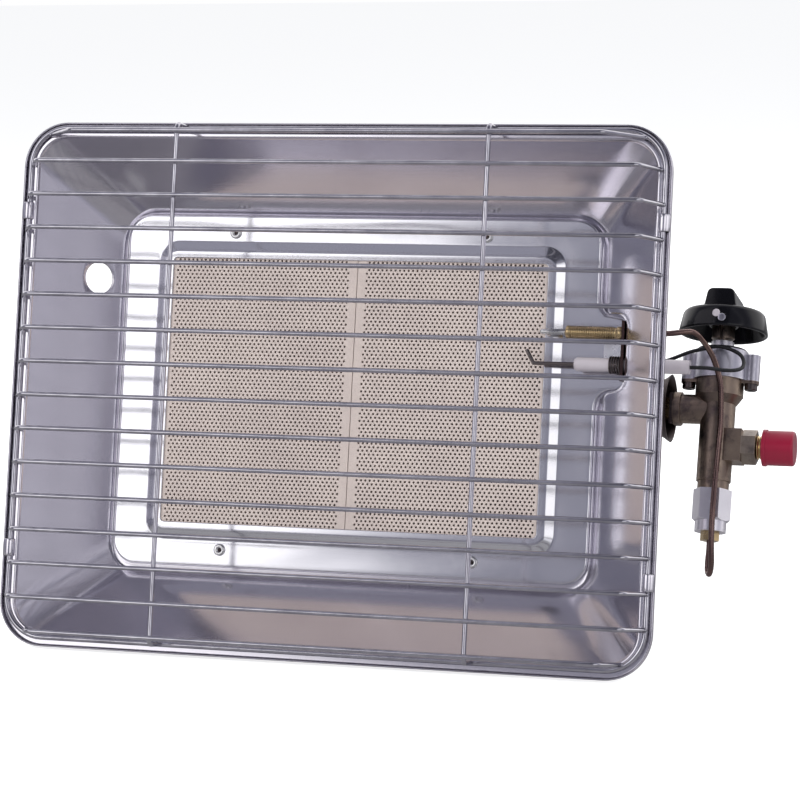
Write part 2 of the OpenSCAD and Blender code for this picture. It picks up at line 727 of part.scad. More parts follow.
module jet() {
    b = bracket_t;
    color("goldenrod") stand_up() translate([jet_x, burner_y, axis_z]) rotate([0, -90, 0])
        difference() {
            union() {
                translate([0, 0, b]) cylinder(d = jet_af / cos(30), h = 4, $fn = 6);
                translate([0, 0, b + 3.9]) cylinder(d = 8, h = 3.1);
                translate([0, 0, b + 7]) cylinder(d1 = 8, d2 = 5, h = 4);
                translate([0, 0, 0]) cylinder(d = jet_af - 2 - 2 * run_clear, h = b + 1);
            }
            translate([0, 0, -1]) cylinder(d = 4, h = 9.5 + b);
            cylinder(d = 0.8, h = 30);
        }
}

// ---- valve ----

module valve_body() {
    low = valve_low;
    color("darkgoldenrod") stand_up() on_axis() difference() {
        union() {
            translate([0, 0, neck_len - low]) cylinder(d = valve_d, h = low + 2);
            translate([0, 0, -low]) cylinder(d = valve_d - 1.6, h = neck_len + e);
            translate([0, 0, 2.8]) cylinder(d1 = valve_d + 1, d2 = shoulder_d, h = 4.4);
            translate([0, 0, 7.1]) cylinder(d = shoulder_d, h = valve_top - 7.1);
            // ears the head is screwed to
            for (s = [-1, 1])
                translate([s * lobe_x, 0, valve_top - ear_t]) cylinder(d = lobe_d, h = ear_t);
            translate([-lobe_x, -lobe_d / 2, valve_top - ear_t]) cube([2 * lobe_x, lobe_d, ear_t]);
            // outlet to the jet
            rotate([0, -90, 0]) cylinder(d = outlet_d, h = valve_x - jet_x - 3.5);
            rotate([0, -90, 0]) translate([0, 0, valve_x - jet_x - 3.7])
                cylinder(d = outlet_d + 2.2, h = 3.7);
            // inlet block
            translate([0, -7.5, -inlet_drop - 8.5]) cube([hex_x, 15, 17]);
        }
        translate([0, 0, 4 - low]) cylinder(d = 9, h = low + valve_top - 3);
        translate([0, 0, -low - 1]) cylinder(d = 11, h = 8);
        rotate([0, -90, 0]) cylinder(d = 5, h = valve_x - jet_x + 1);
        translate([0, 0, -inlet_drop]) rotate([0, 90, 0]) cylinder(d = 5, h = hex_x + 1);
        for (s = [-1, 1])
            translate([s * lobe_x, 0, valve_top - ear_t - 1])
                cylinder(d = rivet_d + 2 * run_clear, h = ear_t + 2);
    }
}

module valve_head() {
    color("darkgray") stand_up() on_axis() difference() {
        union() {
            translate([0, 0, valve_top]) cylinder(d1 = head_d, d2 = head_d - 1, h = head_h - 1.2);
            translate([0, 0, head_top - 1.2]) cylinder(d1 = head_d - 1, d2 = head_d - 3.4, h = 1.2);
            for (s = [-1, 1]) translate([s * lobe_x, 0, valve_top]) cylinder(d = lobe_d, h = head_h - 2.8);
            translate([-lobe_x, -lobe_d / 2 + 0.4, valve_top]) cube([2 * lobe_x, lobe_d - 0.8, head_h - 3.2]);
            // boss that carries the spark terminal
            translate([plug_x, plug_back - 2.6, plug_s - 2.6]) cube([14, 5.2, 5.2]);
        }
        translate([0, 0, collar_s - knob_travel - 0.6]) cylinder(d = hub_d + 2 * run_clear, h = 40);
        translate([0, 0, valve_top - 1]) cylinder(d = spindle_d + 2 * run_clear, h = 40);
        for (s = [-1, 1])
            translate([s * lobe_x, 0, valve_top - 1]) cylinder(d = rivet_d, h = head_h - 5);
        translate([plug_x - 1, plug_back, plug_s]) rotate([0, 90, 0]) cylinder(d = 3.1, h = 6);
    }
}

module head_screws() {
    h = 3.2;
    s0 = valve_top - ear_t - h;
    color("dimgray") stand_up() on_axis() for (s = [-1, 1]) translate([s * lobe_x, 0, s0]) difference() {
        union() {
            translate([0, 0, 0.4]) cylinder(d = 6.8, h = h - 0.4);
            cylinder(d1 = 6, d2 = 6.8, h = 0.4);
            cylinder(d = rivet_d - 2 * fit, h = h + ear_t + 9);
        }
        translate([0, 0, -1]) cylinder(d = 3 / cos(30), h = 3, $fn = 6);
    }
}

module stem_collar() {
    color("silver") stand_up() on_axis() difference() {
        union() {
            translate([0, 0, collar_s]) cylinder(d = hub_d, h = 5);
            translate([0, 0, collar_s + 4.9]) cylinder(d1 = hub_d, d2 = hub_d - 1, h = 0.5);
        }
        translate([0, 0, collar_s - 1]) cylinder(d = spindle_d + 2 * run_clear, h = 9);
    }
}

module spindle() {
    top = knob_s + knob_h - 7.2;
    color("silver") stand_up() on_axis() difference() {
        union() {
            translate([0, 0, valve_top - 5]) cylinder(d = spindle_d, h = hub_s - valve_top + 6);
            translate([0, 0, hub_s]) cylinder(d = hub_d - 1, h = 0.6);
            translate([0, 0, hub_s + 0.5]) cylinder(d = hub_d, h = top - hub_s - 0.5);
        }
        // driving slot, seen under the skirt
        translate([-0.8, -hub_d, hub_s - 1]) cube([1.6, hub_d * 0.75, knob_s + 5 - hub_s]);
    }
}

module knob_plan(w, drop) {
    r = 2.5;
    polygon([[0, 0], [knob_d / 2 - w, 0], [knob_d / 2 - w, 1.2], [knob_top_d / 2 + 0.6 - w, skirt_h - r - drop],
        [knob_top_d / 2 - r - w, skirt_h - drop], [0, skirt_h - drop]]);
    translate([knob_top_d / 2 + 0.6 - r - w, skirt_h - r - drop]) circle(r);
}

module knob() {
    foot = skirt_h - 1;
    color("black") stand_up() on_axis() translate([0, 0, knob_s]) difference() {
        union() {
            rotate_extrude() knob_plan(0, 0);
            intersection() {
                translate([0, 0, foot]) cylinder(d1 = knob_top_d - 1, d2 = knob_top_d - 3, h = knob_h - foot);
                rotate([90, 0, 0]) translate([0, 0, -knob_d]) linear_extrude(2 * knob_d)
                    hull() {
                        translate([-grip_foot / 2, foot]) square([grip_foot, 1]);
                        for (x = [-1, 1]) translate([x * (grip_top / 2 - grip_r), knob_h - grip_r]) circle(grip_r);
                    }
            }
        }
        // hollow underside with a boss round the spindle
        difference() {
            translate([0, 0, -0.01]) rotate_extrude() knob_plan(2, 2);
            translate([0, 0, 4]) cylinder(d = hub_d + 5, h = 20);
        }
        translate([0, 0, -1]) cylinder(d = hub_d + 2 * fit, h = knob_h - 6);
    }
}

module magnet_nut() {
    color("gray") stand_up() on_axis() difference() {
        union() {
            translate([0, 0, nut_s]) intersection() {
                cylinder(d = magnet_af / cos(30), h = nut_h, $fn = 6);
                cylinder(d1 = magnet_af + 0.2, d2 = magnet_af + 36, h = nut_h);
            }
            translate([0, 0, nut_s - nut_round]) cylinder(d = magnet_af - 1.2, h = nut_round + e);
            translate([0, 0, nut_s + nut_h - 0.2]) cylinder(d = 11 - 2 * fit, h = 4.5);
        }
        translate([0, 0, nut_s - nut_round - 1]) cylinder(d = 8, h = 7);
    }
}

module sensor_nut() {
    color("goldenrod") stand_up() on_axis() difference() {
        union() {
            translate([0, 0, sensor_nut_s]) cylinder(d = 8.6 / cos(30), h = 4.6, $fn = 6);
            translate([0, 0, sensor_nut_s + 4.5]) cylinder(d = 8 - 2 * fit, h = 5);
        }
        translate([0, 0, sensor_nut_s - 1]) cylinder(d = copper_d + 0.4, h = 20);
    }
}

module inlet_hex() {
    color("goldenrod") stand_up() on_axis() translate([hex_x, 0, -inlet_drop]) rotate([0, 90, 0])
        difference() {
            cylinder(d = 16 / cos(30), h = nipple_x - hex_x, $fn = 6);
            translate([0, 0, -1]) cylinder(d = 5, h = 20);
        }
}

module inlet_nipple() {
    color("goldenrod") stand_up() on_axis() translate([nipple_x, 0, -inlet_drop]) rotate([0, 90, 0])
        difference() {
            union() {
                cylinder(d = 10, h = 3);
                translate([0, 0, thread_x - nipple_x]) cylinder(d = thread_d, h = thread_len - 0.8);
                translate([0, 0, thread_x - nipple_x + thread_len - 0.9])
                    cylinder(d1 = thread_d, d2 = thread_d - 1.6, h = 0.9);
            }
            translate([0, 0, -1]) cylinder(d = 5, h = 40);
            translate([0, 0, thread_x - nipple_x + thread_len - 5]) cylinder(d1 = 5, d2 = 8, h = 6);
        }
}

module inlet_cap() {
    color("darkred") stand_up() on_axis() translate([cap_x, 0, -inlet_drop]) rotate([0, 90, 0])
        difference() {
            union() {
                cylinder(d = cap_d + 1, h = 1.8);
                cylinder(d = cap_d, h = cap_len - 1.5);
                translate([0, 0, cap_len - 1.5]) cylinder(d = cap_d - 3, h = 1.5);
                translate([0, 0, cap_len - 1.5]) rotate_extrude() translate([cap_d / 2 - 1.5, 0]) circle(1.5);
            }
            translate([0, 0, -1]) cylinder(d = thread_d + 2 * run_clear, h = cap_len - cap_wall + 1);
        }
}

// ---- flame sensing and ignition ----

module probe_bracket() {
    x = bracket_x;
    y0 = spark_y - 8.5;
    y1 = sensor_y + 6;
    z0 = tray_z;
    color("dimgray") stand_up() difference() {
        union() {
            translate([x, y0, z0]) cube([bracket_t, y1 - y0, probe_level + 6.5 - z0]);
            translate([x - 12, y0 + 7, z0]) cube([12 + e, y1 - y0 - 14, 1]);
        }
        rod_x(sensor_d - 1.9, x - 3, x + 4, sensor_y, probe_level);
        rod_x(ceramic_d + 2 * fit, x - 3, x + 4, spark_y, probe_level);
    }
}

module sensor_sleeve() {
    x0 = bracket_x - 30.5;
    color("goldenrod") stand_up() difference() {
        union() {
            rod_x(sensor_d - 1, x0, bracket_x, sensor_y, probe_level);
            rod_x(sensor_d, x0, x0 + 3, sensor_y, probe_level);
            for (i = [0:10])
                rod_x(sensor_d, x0 + 4.2 + i * 2.1, x0 + 5.4 + i * 2.1, sensor_y, probe_level);
            rod_x(sensor_d, bracket_x - 3.5, bracket_x, sensor_y, probe_level);
            rod_x(sensor_d - 2, bracket_x - 1, bracket_x + 3, sensor_y, probe_level);
        }
        rod_x(copper_d + 0.4, bracket_x - 4, bracket_x + 5, sensor_y, probe_level);
        rod_x(3.2 + 2 * fit, x0 - 1, x0 + 10, sensor_y, probe_level);
    }
}

module sensor_tip() {
    x0 = bracket_x - 44.5;
    color("gray") stand_up() {
        rod_x(3.2, x0 + 1.6, bracket_x - 21, sensor_y, probe_level);
        translate([x0 + 1.6, sensor_y, probe_level]) sphere(d = 3.2);
    }
}

module copper_lead() {
    color("peru") stand_up() lead(copper_pts, copper_d);
}

module electrode_ceramic() {
    color("white") stand_up() difference() {
        union() {
            rod_x(ceramic_d, ceramic_x - ceramic_len + 1, ceramic_x, spark_y, probe_level);
            rod_x(ceramic_d - 1.2, ceramic_x - ceramic_len, ceramic_x, spark_y, probe_level);
        }
        rod_x(spark_lead_d + 0.4, ceramic_x - 8, ceramic_x + 1, spark_y, probe_level);
        rod_x(2 + 2 * fit, ceramic_x - ceramic_len - 1, ceramic_x - ceramic_len + rod_in + 2, spark_y, probe_level);
    }
}

module electrode_rod() {
    x0 = ceramic_x - ceramic_len;
    color("dimgray") stand_up() {
        rod_x(2, x0 - rod_out, x0 + rod_in, spark_y, probe_level);
        // tip bent up toward the flame sensor
        translate([x0 - rod_out, spark_y, probe_level]) {
            sphere(d = 2);
            rotate([0, 0, 120]) rotate([0, 90, 0]) cylinder(d = 2, h = 8);
        }
    }
}

module electrode_spring() {
    color("silver") stand_up() for (i = [0:4])
        translate([bracket_x - 1 - i * 1.3, spark_y, probe_level]) rotate([0, 90, 0])
            rotate_extrude() translate([ceramic_d / 2 + 0.52, 0]) circle(0.5);
}

module spark_lead() {
    color("black") stand_up() lead(spark_pts, spark_lead_d);
}

module spark_terminal() {
    color("black") stand_up() on_axis() translate([plug_x, plug_back, plug_s]) rotate([0, -90, 0])
        difference() {
            union() {
                cylinder(d = 5, h = 6);
                translate([0, 0, 5.9]) cylinder(d1 = 5, d2 = 3.4, h = 3);
                translate([0, 0, -4]) cylinder(d = 3, h = 4.1);
            }
            translate([0, 0, 2]) cylinder(d = spark_lead_d + 0.6, h = 12);
        }
}

// ---- stand ----

module stand_bracket() {
    b = bracket_t;
    h = 2 * pivot_back;
    x0 = mount_pitch / 2 + 22;
    x1 = x0 + 8;
    color("silver") stand_up() difference() {
        union() {
            translate([0, pivot_up + h / 2, box_z]) rotate([90, 0, 0]) linear_extrude(h)
                for (s = [0, 1]) mirror([s, 0, 0])
                    polygon([[-1, -hat_h], [-1, -hat_h - b], [x0 + 1, -hat_h - b], [x1 + 1, -b],
                        [ear_x + b, -b], [ear_x + b, 0], [x1, 0], [x0, -hat_h]]);
            for (s = [-1, 1]) translate([s > 0 ? ear_x : -ear_x - b, pivot_up, 0]) {
                translate([0, -h / 2, pivot_z]) cube([b, h, pivot_back]);
                translate([0, 0, pivot_z]) rotate([0, 90, 0]) cylinder(r = h / 2, h = b);
            }
            // tongues the open legs rest against
            for (s = [-1, 1]) mirror([s < 0 ? 1 : 0, 0, 0])
                translate([ear_x + b, pivot_up, pivot_z]) rotate([stand_fold, 0, 0])
                    translate([-b - 8, -11, -stand_d / 2 - part_gap - b]) cube([b + 8, 8, b]);
        }
        rod_x(stand_d + 2 * run_clear, -ear_x - 5, ear_x + 5, pivot_up, pivot_z);
        back_screw_spots() rod_z(rivet_d + 2 * run_clear, 0, 0, box_z - 4, box_z + 3);
        for (s = [-1, 1])
            rod_z(mount_hole_d, s * mount_pitch / 2, pivot_up, box_z - hat_h - 4, box_z - hat_h + 3);
    }
}

module stand_wire() {
    bend = 6;
    foot = 12;
    x = stand_w / 2;
    len = stand_len;
    color("lightgray") stand_up() translate([0, pivot_up, pivot_z]) rotate([stand_fold, 0, 0])
        for (s = [0, 1]) mirror([s, 0, 0]) {
            rod_x(stand_d, x + bend, ear_x + bracket_t + 3, 0, 0);
            translate([x + bend, -bend, 0]) rotate([0, 0, 90]) ring_bend(stand_d, bend, 90);
            translate([x, -bend, 0]) rotate([90, 0, 0]) cylinder(d = stand_d, h = len - bend - foot);
            translate([x - foot, foot - len, 0]) rotate([0, 0, -90]) ring_bend(stand_d, foot, 90);
            rod_x(stand_d, -e, x - foot, -len, 0);
        }
}

module back_screws() {
    color("gray") stand_up() back_screw_spots() difference() {
        union() {
            rod_z(rivet_d, 0, 0, box_z - bracket_t - 1, box_z + 1.6);
            rod_z(6.6, 0, 0, box_z - bracket_t - 2, box_z - bracket_t);
        }
        rod_z(3, 0, 0, box_z - bracket_t - 5, box_z - bracket_t - 0.8, $fn = 4);
    }
}

reflector();
guard_ring();
guard_bars();
guard_uprights();
burner_frame();
frame_rivets();
tile_left();
tile_right();
tile_gasket();
frame_gasket();
diffuser();
burner_box();
venturi();
jet_bracket();
jet();
probe_bracket();
sensor_sleeve();
sensor_tip();
copper_lead();
sensor_nut();
electrode_ceramic();
electrode_rod();
electrode_spring();
spark_lead();
spark_terminal();
valve_body();
valve_head();
head_screws();
stem_collar();
spindle();
knob();
magnet_nut();
inlet_hex();
inlet_nipple();
inlet_cap();
stand_bracket();
stand_wire();
back_screws();
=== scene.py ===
import json
import math

import bmesh
import bpy
from mathutils import Matrix, Vector


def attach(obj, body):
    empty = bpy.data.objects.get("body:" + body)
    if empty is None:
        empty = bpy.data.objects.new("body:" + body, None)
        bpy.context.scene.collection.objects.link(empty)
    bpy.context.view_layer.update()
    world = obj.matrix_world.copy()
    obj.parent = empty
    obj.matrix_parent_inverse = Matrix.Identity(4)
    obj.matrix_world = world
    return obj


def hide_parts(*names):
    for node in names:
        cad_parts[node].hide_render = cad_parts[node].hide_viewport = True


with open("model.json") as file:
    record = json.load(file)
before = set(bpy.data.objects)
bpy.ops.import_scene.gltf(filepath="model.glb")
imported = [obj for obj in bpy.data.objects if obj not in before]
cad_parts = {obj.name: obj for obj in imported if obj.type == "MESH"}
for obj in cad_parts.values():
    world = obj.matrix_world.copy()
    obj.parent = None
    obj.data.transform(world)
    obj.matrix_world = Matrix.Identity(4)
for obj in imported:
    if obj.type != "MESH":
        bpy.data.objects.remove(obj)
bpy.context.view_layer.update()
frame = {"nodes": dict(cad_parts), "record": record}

NODES = frame["nodes"]

# ---------------------------------------------------------------- placing
# The source is drawn in the reflector's own frame (x right, y up along the
# reflector, z forward, millimetres) and leans back on its lower edge.
LEAN = math.radians(15)
# These set the lowest point at height 0 and the middle of the box at the origin.
LIFT = 136.3677
MID_X, MID_Y = 28.3, 58.8404


def turn(v):
    """A direction of the reflector's frame in the row frame."""
    x, y, z = v
    return Vector((x, y * math.sin(LEAN) - z * math.cos(LEAN),
                   y * math.cos(LEAN) + z * math.sin(LEAN)))


def place(x, y, z):
    """A point of the reflector's frame, in millimetres, as row metres."""
    return (turn((x, y, z)) + Vector((-MID_X, -MID_Y, LIFT))) / 1000


BURNER_Y = 1.5  # middle of the burner
AXIS_Z = -71.7  # depth of the valve's axis
VALVE_X = 191.3
VALVE_TILT = math.radians(8)


def on_valve(x, s, front=0.0):
    """A point of the valve: right, up its axis, forward; millimetres."""
    c, n = math.cos(VALVE_TILT), math.sin(VALVE_TILT)
    return place(VALVE_X + x, BURNER_Y + s * c + front * n, AXIS_Z - s * n + front * c)


# ---------------------------------------------------------------- camera
# Fitted to the guard, the rims and the valve in the picture.
CAMERA_AT = (445.84, -84.28, 1371.44)
BACK = Vector((0.28356, -0.05676, 0.95727))
RIGHT = Vector((0.95882, 0.0, -0.28402))
UP = Vector((0.01612, 0.99839, 0.05442))
ROLL = math.radians(2.84)
cam_x = RIGHT * math.cos(ROLL) + UP * math.sin(ROLL)
cam_y = UP * math.cos(ROLL) - RIGHT * math.sin(ROLL)
cam = bpy.data.objects.new("camera", bpy.data.cameras.new("camera"))
bpy.context.scene.collection.objects.link(cam)
cam.data.lens = 126
cam.data.sensor_width = 36
cam.data.clip_end = 20
columns = [turn(cam_x).normalized(), turn(cam_y).normalized(), turn(BACK).normalized()]
cam.matrix_world = Matrix.Translation(place(*CAMERA_AT)) @ Matrix(
    [[c[i] for c in columns] for i in range(3)]).to_4x4()
bpy.context.scene.camera = cam

# ---------------------------------------------------------------- node helpers


class Shader:
    """A small material builder: one Principled shader and its inputs."""

    def __init__(self, name):
        self.mat = bpy.data.materials.new(name)
        self.mat.use_nodes = True
        self.tree = self.mat.node_tree
        self.nodes, self.links = self.tree.nodes, self.tree.links
        self.bsdf = self.nodes["Principled BSDF"]
        self.coords = self.nodes.new("ShaderNodeTexCoord").outputs["Object"]

    def set(self, **values):
        for key, value in values.items():
            self.bsdf.inputs[key.replace("_", " ")].default_value = value
        return self

    def node(self, kind, **inputs):
        n = self.nodes.new(kind)
        for key, value in inputs.items():
            socket = n.inputs[key.replace("_", " ")]
            if isinstance(value, bpy.types.NodeSocket):
                self.links.new(value, socket)
            else:
                socket.default_value = value
        return n

    def scaled(self, scale, rotation=(0, 0, 0)):
        m = self.node("ShaderNodeMapping", Vector=self.coords)
        m.inputs["Scale"].default_value = scale
        m.inputs["Rotation"].default_value = rotation
        return m.outputs["Vector"]

    def noise(self, scale, detail=4.0, rough=0.55, vector=None):
        n = self.node("ShaderNodeTexNoise", Vector=vector or self.coords,
                      Scale=scale, Detail=detail, Roughness=rough)
        return n.outputs["Fac"]

    def span(self, fac, low, high, at=(0.3, 0.7)):
        """Maps fac to low..high."""
        m = self.node("ShaderNodeMapRange", Value=fac)
        m.inputs["From Min"].default_value, m.inputs["From Max"].default_value = at
        m.inputs["To Min"].default_value, m.inputs["To Max"].default_value = low, high
        return m.outputs["Result"]

    def mix(self, fac, a, b, mode="MIX"):
        m = self.nodes.new("ShaderNodeMix")
        m.data_type = "RGBA"
        m.blend_type = mode
        for key, value in (("Factor", fac), ("A", a), ("B", b)):
            socket = next(s for s in m.inputs if s.name == key and s.enabled)
            if isinstance(value, bpy.types.NodeSocket):
                self.links.new(value, socket)
            else:
                socket.default_value = value if isinstance(value, float) else (*value, 1)
        return next(s for s in m.outputs if s.enabled)

    def edges(self, radius, high):
        """high near edges of the mesh, 0 on flats."""
        bevel = self.node("ShaderNodeBevel", Radius=radius)
        bevel.samples = 4
        geo = self.nodes.new("ShaderNodeNewGeometry")
        dot = self.nodes.new("ShaderNodeVectorMath")
        dot.operation = "DOT_PRODUCT"
        self.links.new(bevel.outputs["Normal"], dot.inputs[0])
        self.links.new(geo.outputs["Normal"], dot.inputs[1])
        return self.span(dot.outputs["Value"], high, 0.0, (0.86, 0.995))

    def link(self, socket, name):
        self.links.new(socket, self.bsdf.inputs[name])

    def bump(self, height, strength, distance):
        b = self.node("ShaderNodeBump", Height=height, Strength=strength, Distance=distance)
        self.link(b.outputs["Normal"], "Normal")


def grey(v):
    return (v, v, v)


def brushed(name, light, dark, rough, grain=(6, 900, 900), smudge=5.0, bump=0.05, streak=0.35,
            speck=0.05):
    """Bright sheet or drawn metal with a fine grain, smudges and dull spots."""
    s = Shader(name).set(Metallic=1.0)
    lines = s.noise(1.0, 3, 0.6, s.scaled(grain))
    cloud = s.noise(smudge, 5, 0.6)
    specks = s.noise(240, 2, 0.7)
    tone = s.mix(s.span(cloud, 0.0, 1.0), light, dark)
    tone = s.mix(s.span(lines, 0.0, streak), tone, dark)
    s.link(tone, "Base Color")
    base = s.span(cloud, rough[0], rough[1])
    extra = s.node("ShaderNodeMath", Value=base)
    extra.operation = "ADD"
    s.links.new(s.span(specks, -0.5 * speck, speck), extra.inputs[1])
    s.link(extra.outputs["Value"], "Roughness")
    s.bump(lines, bump, 0.0002)
    return s.mat


def cast(name, light, dark, rough=(0.35, 0.6), grain=180.0, bump=0.25, patina=None):
    """Cast, plated or oxidised metal with a pebbled skin and brighter edges."""
    s = Shader(name).set(Metallic=1.0)
    cloud = s.noise(45, 5, 0.6)
    pebble = s.noise(grain * 6, 3, 0.6)
    tone = s.mix(s.span(cloud, 0.0, 1.0), light, dark)
    if patina:
        tone = s.mix(s.span(s.noise(90, 4, 0.7), 0.0, 0.75, (0.48, 0.66)), tone, patina)
    tone = s.mix(s.edges(0.0007, 0.5), tone, tuple(min(1.0, 1.6 * v) for v in light))
    s.link(tone, "Base Color")
    s.link(s.span(pebble, rough[0], rough[1]), "Roughness")
    s.bump(pebble, bump, 0.00012)
    return s.mat


def plastic(name, colour, rough, grain=900.0, bump=0.03, coat=0.0, worn=None, ior=1.5):
    """Moulded plastic or glazed ceramic, cloudy, with paler worn edges if worn is a colour."""
    s = Shader(name).set(IOR=ior)
    cloud = s.noise(30, 4, 0.6)
    fine = s.noise(grain, 2, 0.6)
    dim = tuple(0.75 * v for v in colour)
    tone = s.mix(s.span(cloud, 0.0, 0.6), colour, dim)
    if worn:
        tone = s.mix(s.edges(0.0008, 0.55), tone, worn)
    s.link(tone, "Base Color")
    s.link(s.span(cloud, rough[0], rough[1]), "Roughness")
    if coat:
        s.set(Coat_Weight=coat, Coat_Roughness=0.08)
    s.bump(fine, bump, 0.00015)
    return s.mat


def ceramic_tile():
    """Porous burner tile: cream with pinkish patches and fine darker grains."""
    s = Shader("burner_ceramic").set(IOR=1.45)
    cloud = s.noise(28, 5, 0.6)
    grains = s.noise(1400, 3, 0.7)
    tone = s.mix(s.span(cloud, 0.0, 1.0), (0.66, 0.57, 0.525), (0.57, 0.485, 0.455))
    tone = s.mix(s.span(grains, 0.0, 0.45, (0.45, 0.75)), tone, (0.40, 0.34, 0.31))
    s.link(tone, "Base Color")
    s.set(Roughness=0.88)
    s.bump(grains, 0.5, 0.00015)
    return s.mat


def fibre():
    """Pale gasket felt with drawn-out strands."""
    s = Shader("fibre").set(Roughness=0.95)
    strands = s.noise(700, 5, 0.7, s.scaled((1, 0.25, 1)))
    s.link(s.mix(s.span(strands, 0.0, 1.0), (0.84, 0.82, 0.77), (0.66, 0.63, 0.58)), "Base Color")
    s.bump(strands, 0.6, 0.0004)
    return s.mat


def lead_rubber():
    """Black sleeve of the ignition lead, slightly dusty."""
    s = Shader("lead_black").set(IOR=1.45)
    dust = s.noise(160, 4, 0.6)
    s.link(s.mix(s.span(dust, 0.0, 0.5), (0.006, 0.006, 0.009), grey(0.02)), "Base Color")
    s.link(s.span(dust, 0.38, 0.55), "Roughness")
    s.bump(s.noise(1500, 2), 0.08, 0.0001)
    return s.mat


# ---------------------------------------------------------------- materials
MAT = {
    "bright_steel": brushed("bright_steel", (0.75, 0.73, 0.78), (0.70, 0.68, 0.74), (0.13, 0.17),
                            bump=0.03, streak=0.12, speck=0.012),
    "wire": brushed("wire", (0.67, 0.66, 0.71), (0.42, 0.41, 0.46), (0.06, 0.16),
                    (300, 300, 300), 60.0),
    "frame_steel": brushed("frame_steel", (0.83, 0.83, 0.87), (0.81, 0.81, 0.855), (0.10, 0.13),
                           bump=0.02, streak=0.08, speck=0.012),
    "rivet_alu": brushed("rivet_alu", grey(0.88), grey(0.72), (0.18, 0.3), (400, 400, 400), 80.0),
    "burner_ceramic": ceramic_tile(),
    "fibre": fibre(),
    "aluminised": cast("aluminised", (0.56, 0.57, 0.58), (0.44, 0.45, 0.47), (0.38, 0.55), 60.0, 0.08),
    "dark_steel": cast("dark_steel", (0.13, 0.10, 0.095), (0.06, 0.05, 0.055), (0.35, 0.6)),
    "brass_body": cast("brass_body", (0.37, 0.29, 0.225), (0.17, 0.135, 0.125), (0.30, 0.5), 160.0,
                       0.4, (0.09, 0.07, 0.075)),
    "brass_bright": brushed("brass_bright", (0.76, 0.58, 0.31), (0.44, 0.33, 0.19), (0.18, 0.32),
                            (500, 500, 500), 90.0),
    "copper": brushed("copper", (0.27, 0.18, 0.155), (0.14, 0.09, 0.09), (0.2, 0.32),
                      (300, 300, 300), 40.0),
    "white_ceramic": plastic("white_ceramic", (0.58, 0.53, 0.57), (0.15, 0.3), 600.0, 0.05, 0.3),
    "lead_black": lead_rubber(),
    "terminal_black": plastic("terminal_black", grey(0.03), (0.4, 0.5)),
    "zinc": cast("zinc", (0.66, 0.65, 0.72), (0.42, 0.41, 0.48), (0.28, 0.45), 120.0, 0.2),
    "screw_steel": brushed("screw_steel", (0.19, 0.16, 0.155), (0.10, 0.085, 0.085), (0.25, 0.4),
                           (400, 400, 400), 90.0),
    "knob_black": plastic("knob_black", (0.005, 0.005, 0.007), (0.10, 0.18), 500.0, 0.02,
                          worn=grey(0.035), ior=1.37),
    "cap_red": plastic("cap_red", (0.27, 0.004, 0.030), (0.25, 0.4), 500.0, 0.05,
                       worn=(0.36, 0.02, 0.06)),
    "magnet_steel": cast("magnet_steel", (0.86, 0.84, 0.90), (0.74, 0.73, 0.79), (0.30, 0.42)),
}
SLOTS = {row["node"]: row["material_slot"] for row in frame["record"]["subparts"]}
# nodes whose metal differs from the rest of their slot
OWN = {
    "stem_collar": cast("collar_zinc", (0.70, 0.69, 0.74), (0.50, 0.49, 0.54), (0.25, 0.4), 120.0, 0.15),
    "spindle": cast("spindle_brass", (0.36, 0.29, 0.24), (0.22, 0.18, 0.16), (0.25, 0.4), 120.0, 0.15),
    "inlet_hex": cast("hex_brass", (0.42, 0.35, 0.28), (0.27, 0.23, 0.21), (0.28, 0.45), 160.0, 0.2,
                      (0.16, 0.13, 0.12)),
    "electrode_rod": cast("rod_steel", (0.27, 0.235, 0.23), (0.15, 0.13, 0.13), (0.3, 0.5)),
}
FOOT_EDGE = (0.1188, 0.1192)  # where the bracket's bright foot meets its dark upright, metres


def bracket_metal():
    """Heat-darkened upright beside a foot of bright sheet."""
    s = Shader("bracket_metal").set(Metallic=1.0)
    cloud = s.noise(120, 5, 0.6)
    where = s.nodes.new("ShaderNodeSeparateXYZ")
    s.links.new(s.coords, where.inputs[0])
    dark = s.mix(s.span(cloud, 0.0, 1.0), (0.10, 0.060, 0.055), (0.045, 0.032, 0.035))
    pale = s.mix(s.span(cloud, 0.0, 1.0), (0.80, 0.80, 0.85), (0.66, 0.66, 0.72))
    s.link(s.mix(s.span(where.outputs["X"], 1.0, 0.0, FOOT_EDGE), dark, pale), "Base Color")
    s.link(s.span(cloud, 0.16, 0.4), "Roughness")
    s.bump(s.noise(900, 3), 0.1, 0.0001)
    return s.mat


OWN["probe_bracket"] = bracket_metal()
for name, obj in NODES.items():
    obj.data.materials.clear()
    obj.data.materials.append(OWN.get(name) or MAT[SLOTS[name]])

# ---------------------------------------------------------------- piece helpers


def add(name, mesh, slot, body="heater", material=None, replaces=()):
    """A visible piece that rides on a body, in its slot's material unless another material is given, with the
    CAD nodes it replaces hidden.
    """
    obj = bpy.data.objects.new(name, mesh)
    bpy.context.scene.collection.objects.link(obj)
    obj.data.materials.append(material or MAT[slot])
    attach(obj, body)
    if replaces:
        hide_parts(*replaces)
    return obj


def mesh_from(verts, faces, name, smooth=False):
    mesh = bpy.data.meshes.new(name)
    mesh.from_pydata([tuple(v) for v in verts], [], faces)
    mesh.update()
    if smooth:
        mesh.polygons.foreach_set("use_smooth", [True] * len(mesh.polygons))
    return mesh


# ---------------------------------------------------------------- tiles
TRAY_Z = -43.7
SHEET = 0.8  # thickness of the pressed sheets
TILE_Z = TRAY_Z + 2 - SHEET - 0.1
TILE_T = 13.0
TILE_W, TILE_H, SEAM = 106.8, 148.6, 0.4
HOLE_PITCH, ROW_PITCH = 2.42, 1.96
HOLE_R, HOLE_DEEP, HOLE_SIDES = 0.68, 5.0, 6
SEAM_BAND, EDGE_BAND = 2.6, 0.6  # least plain margin beside and above the holes


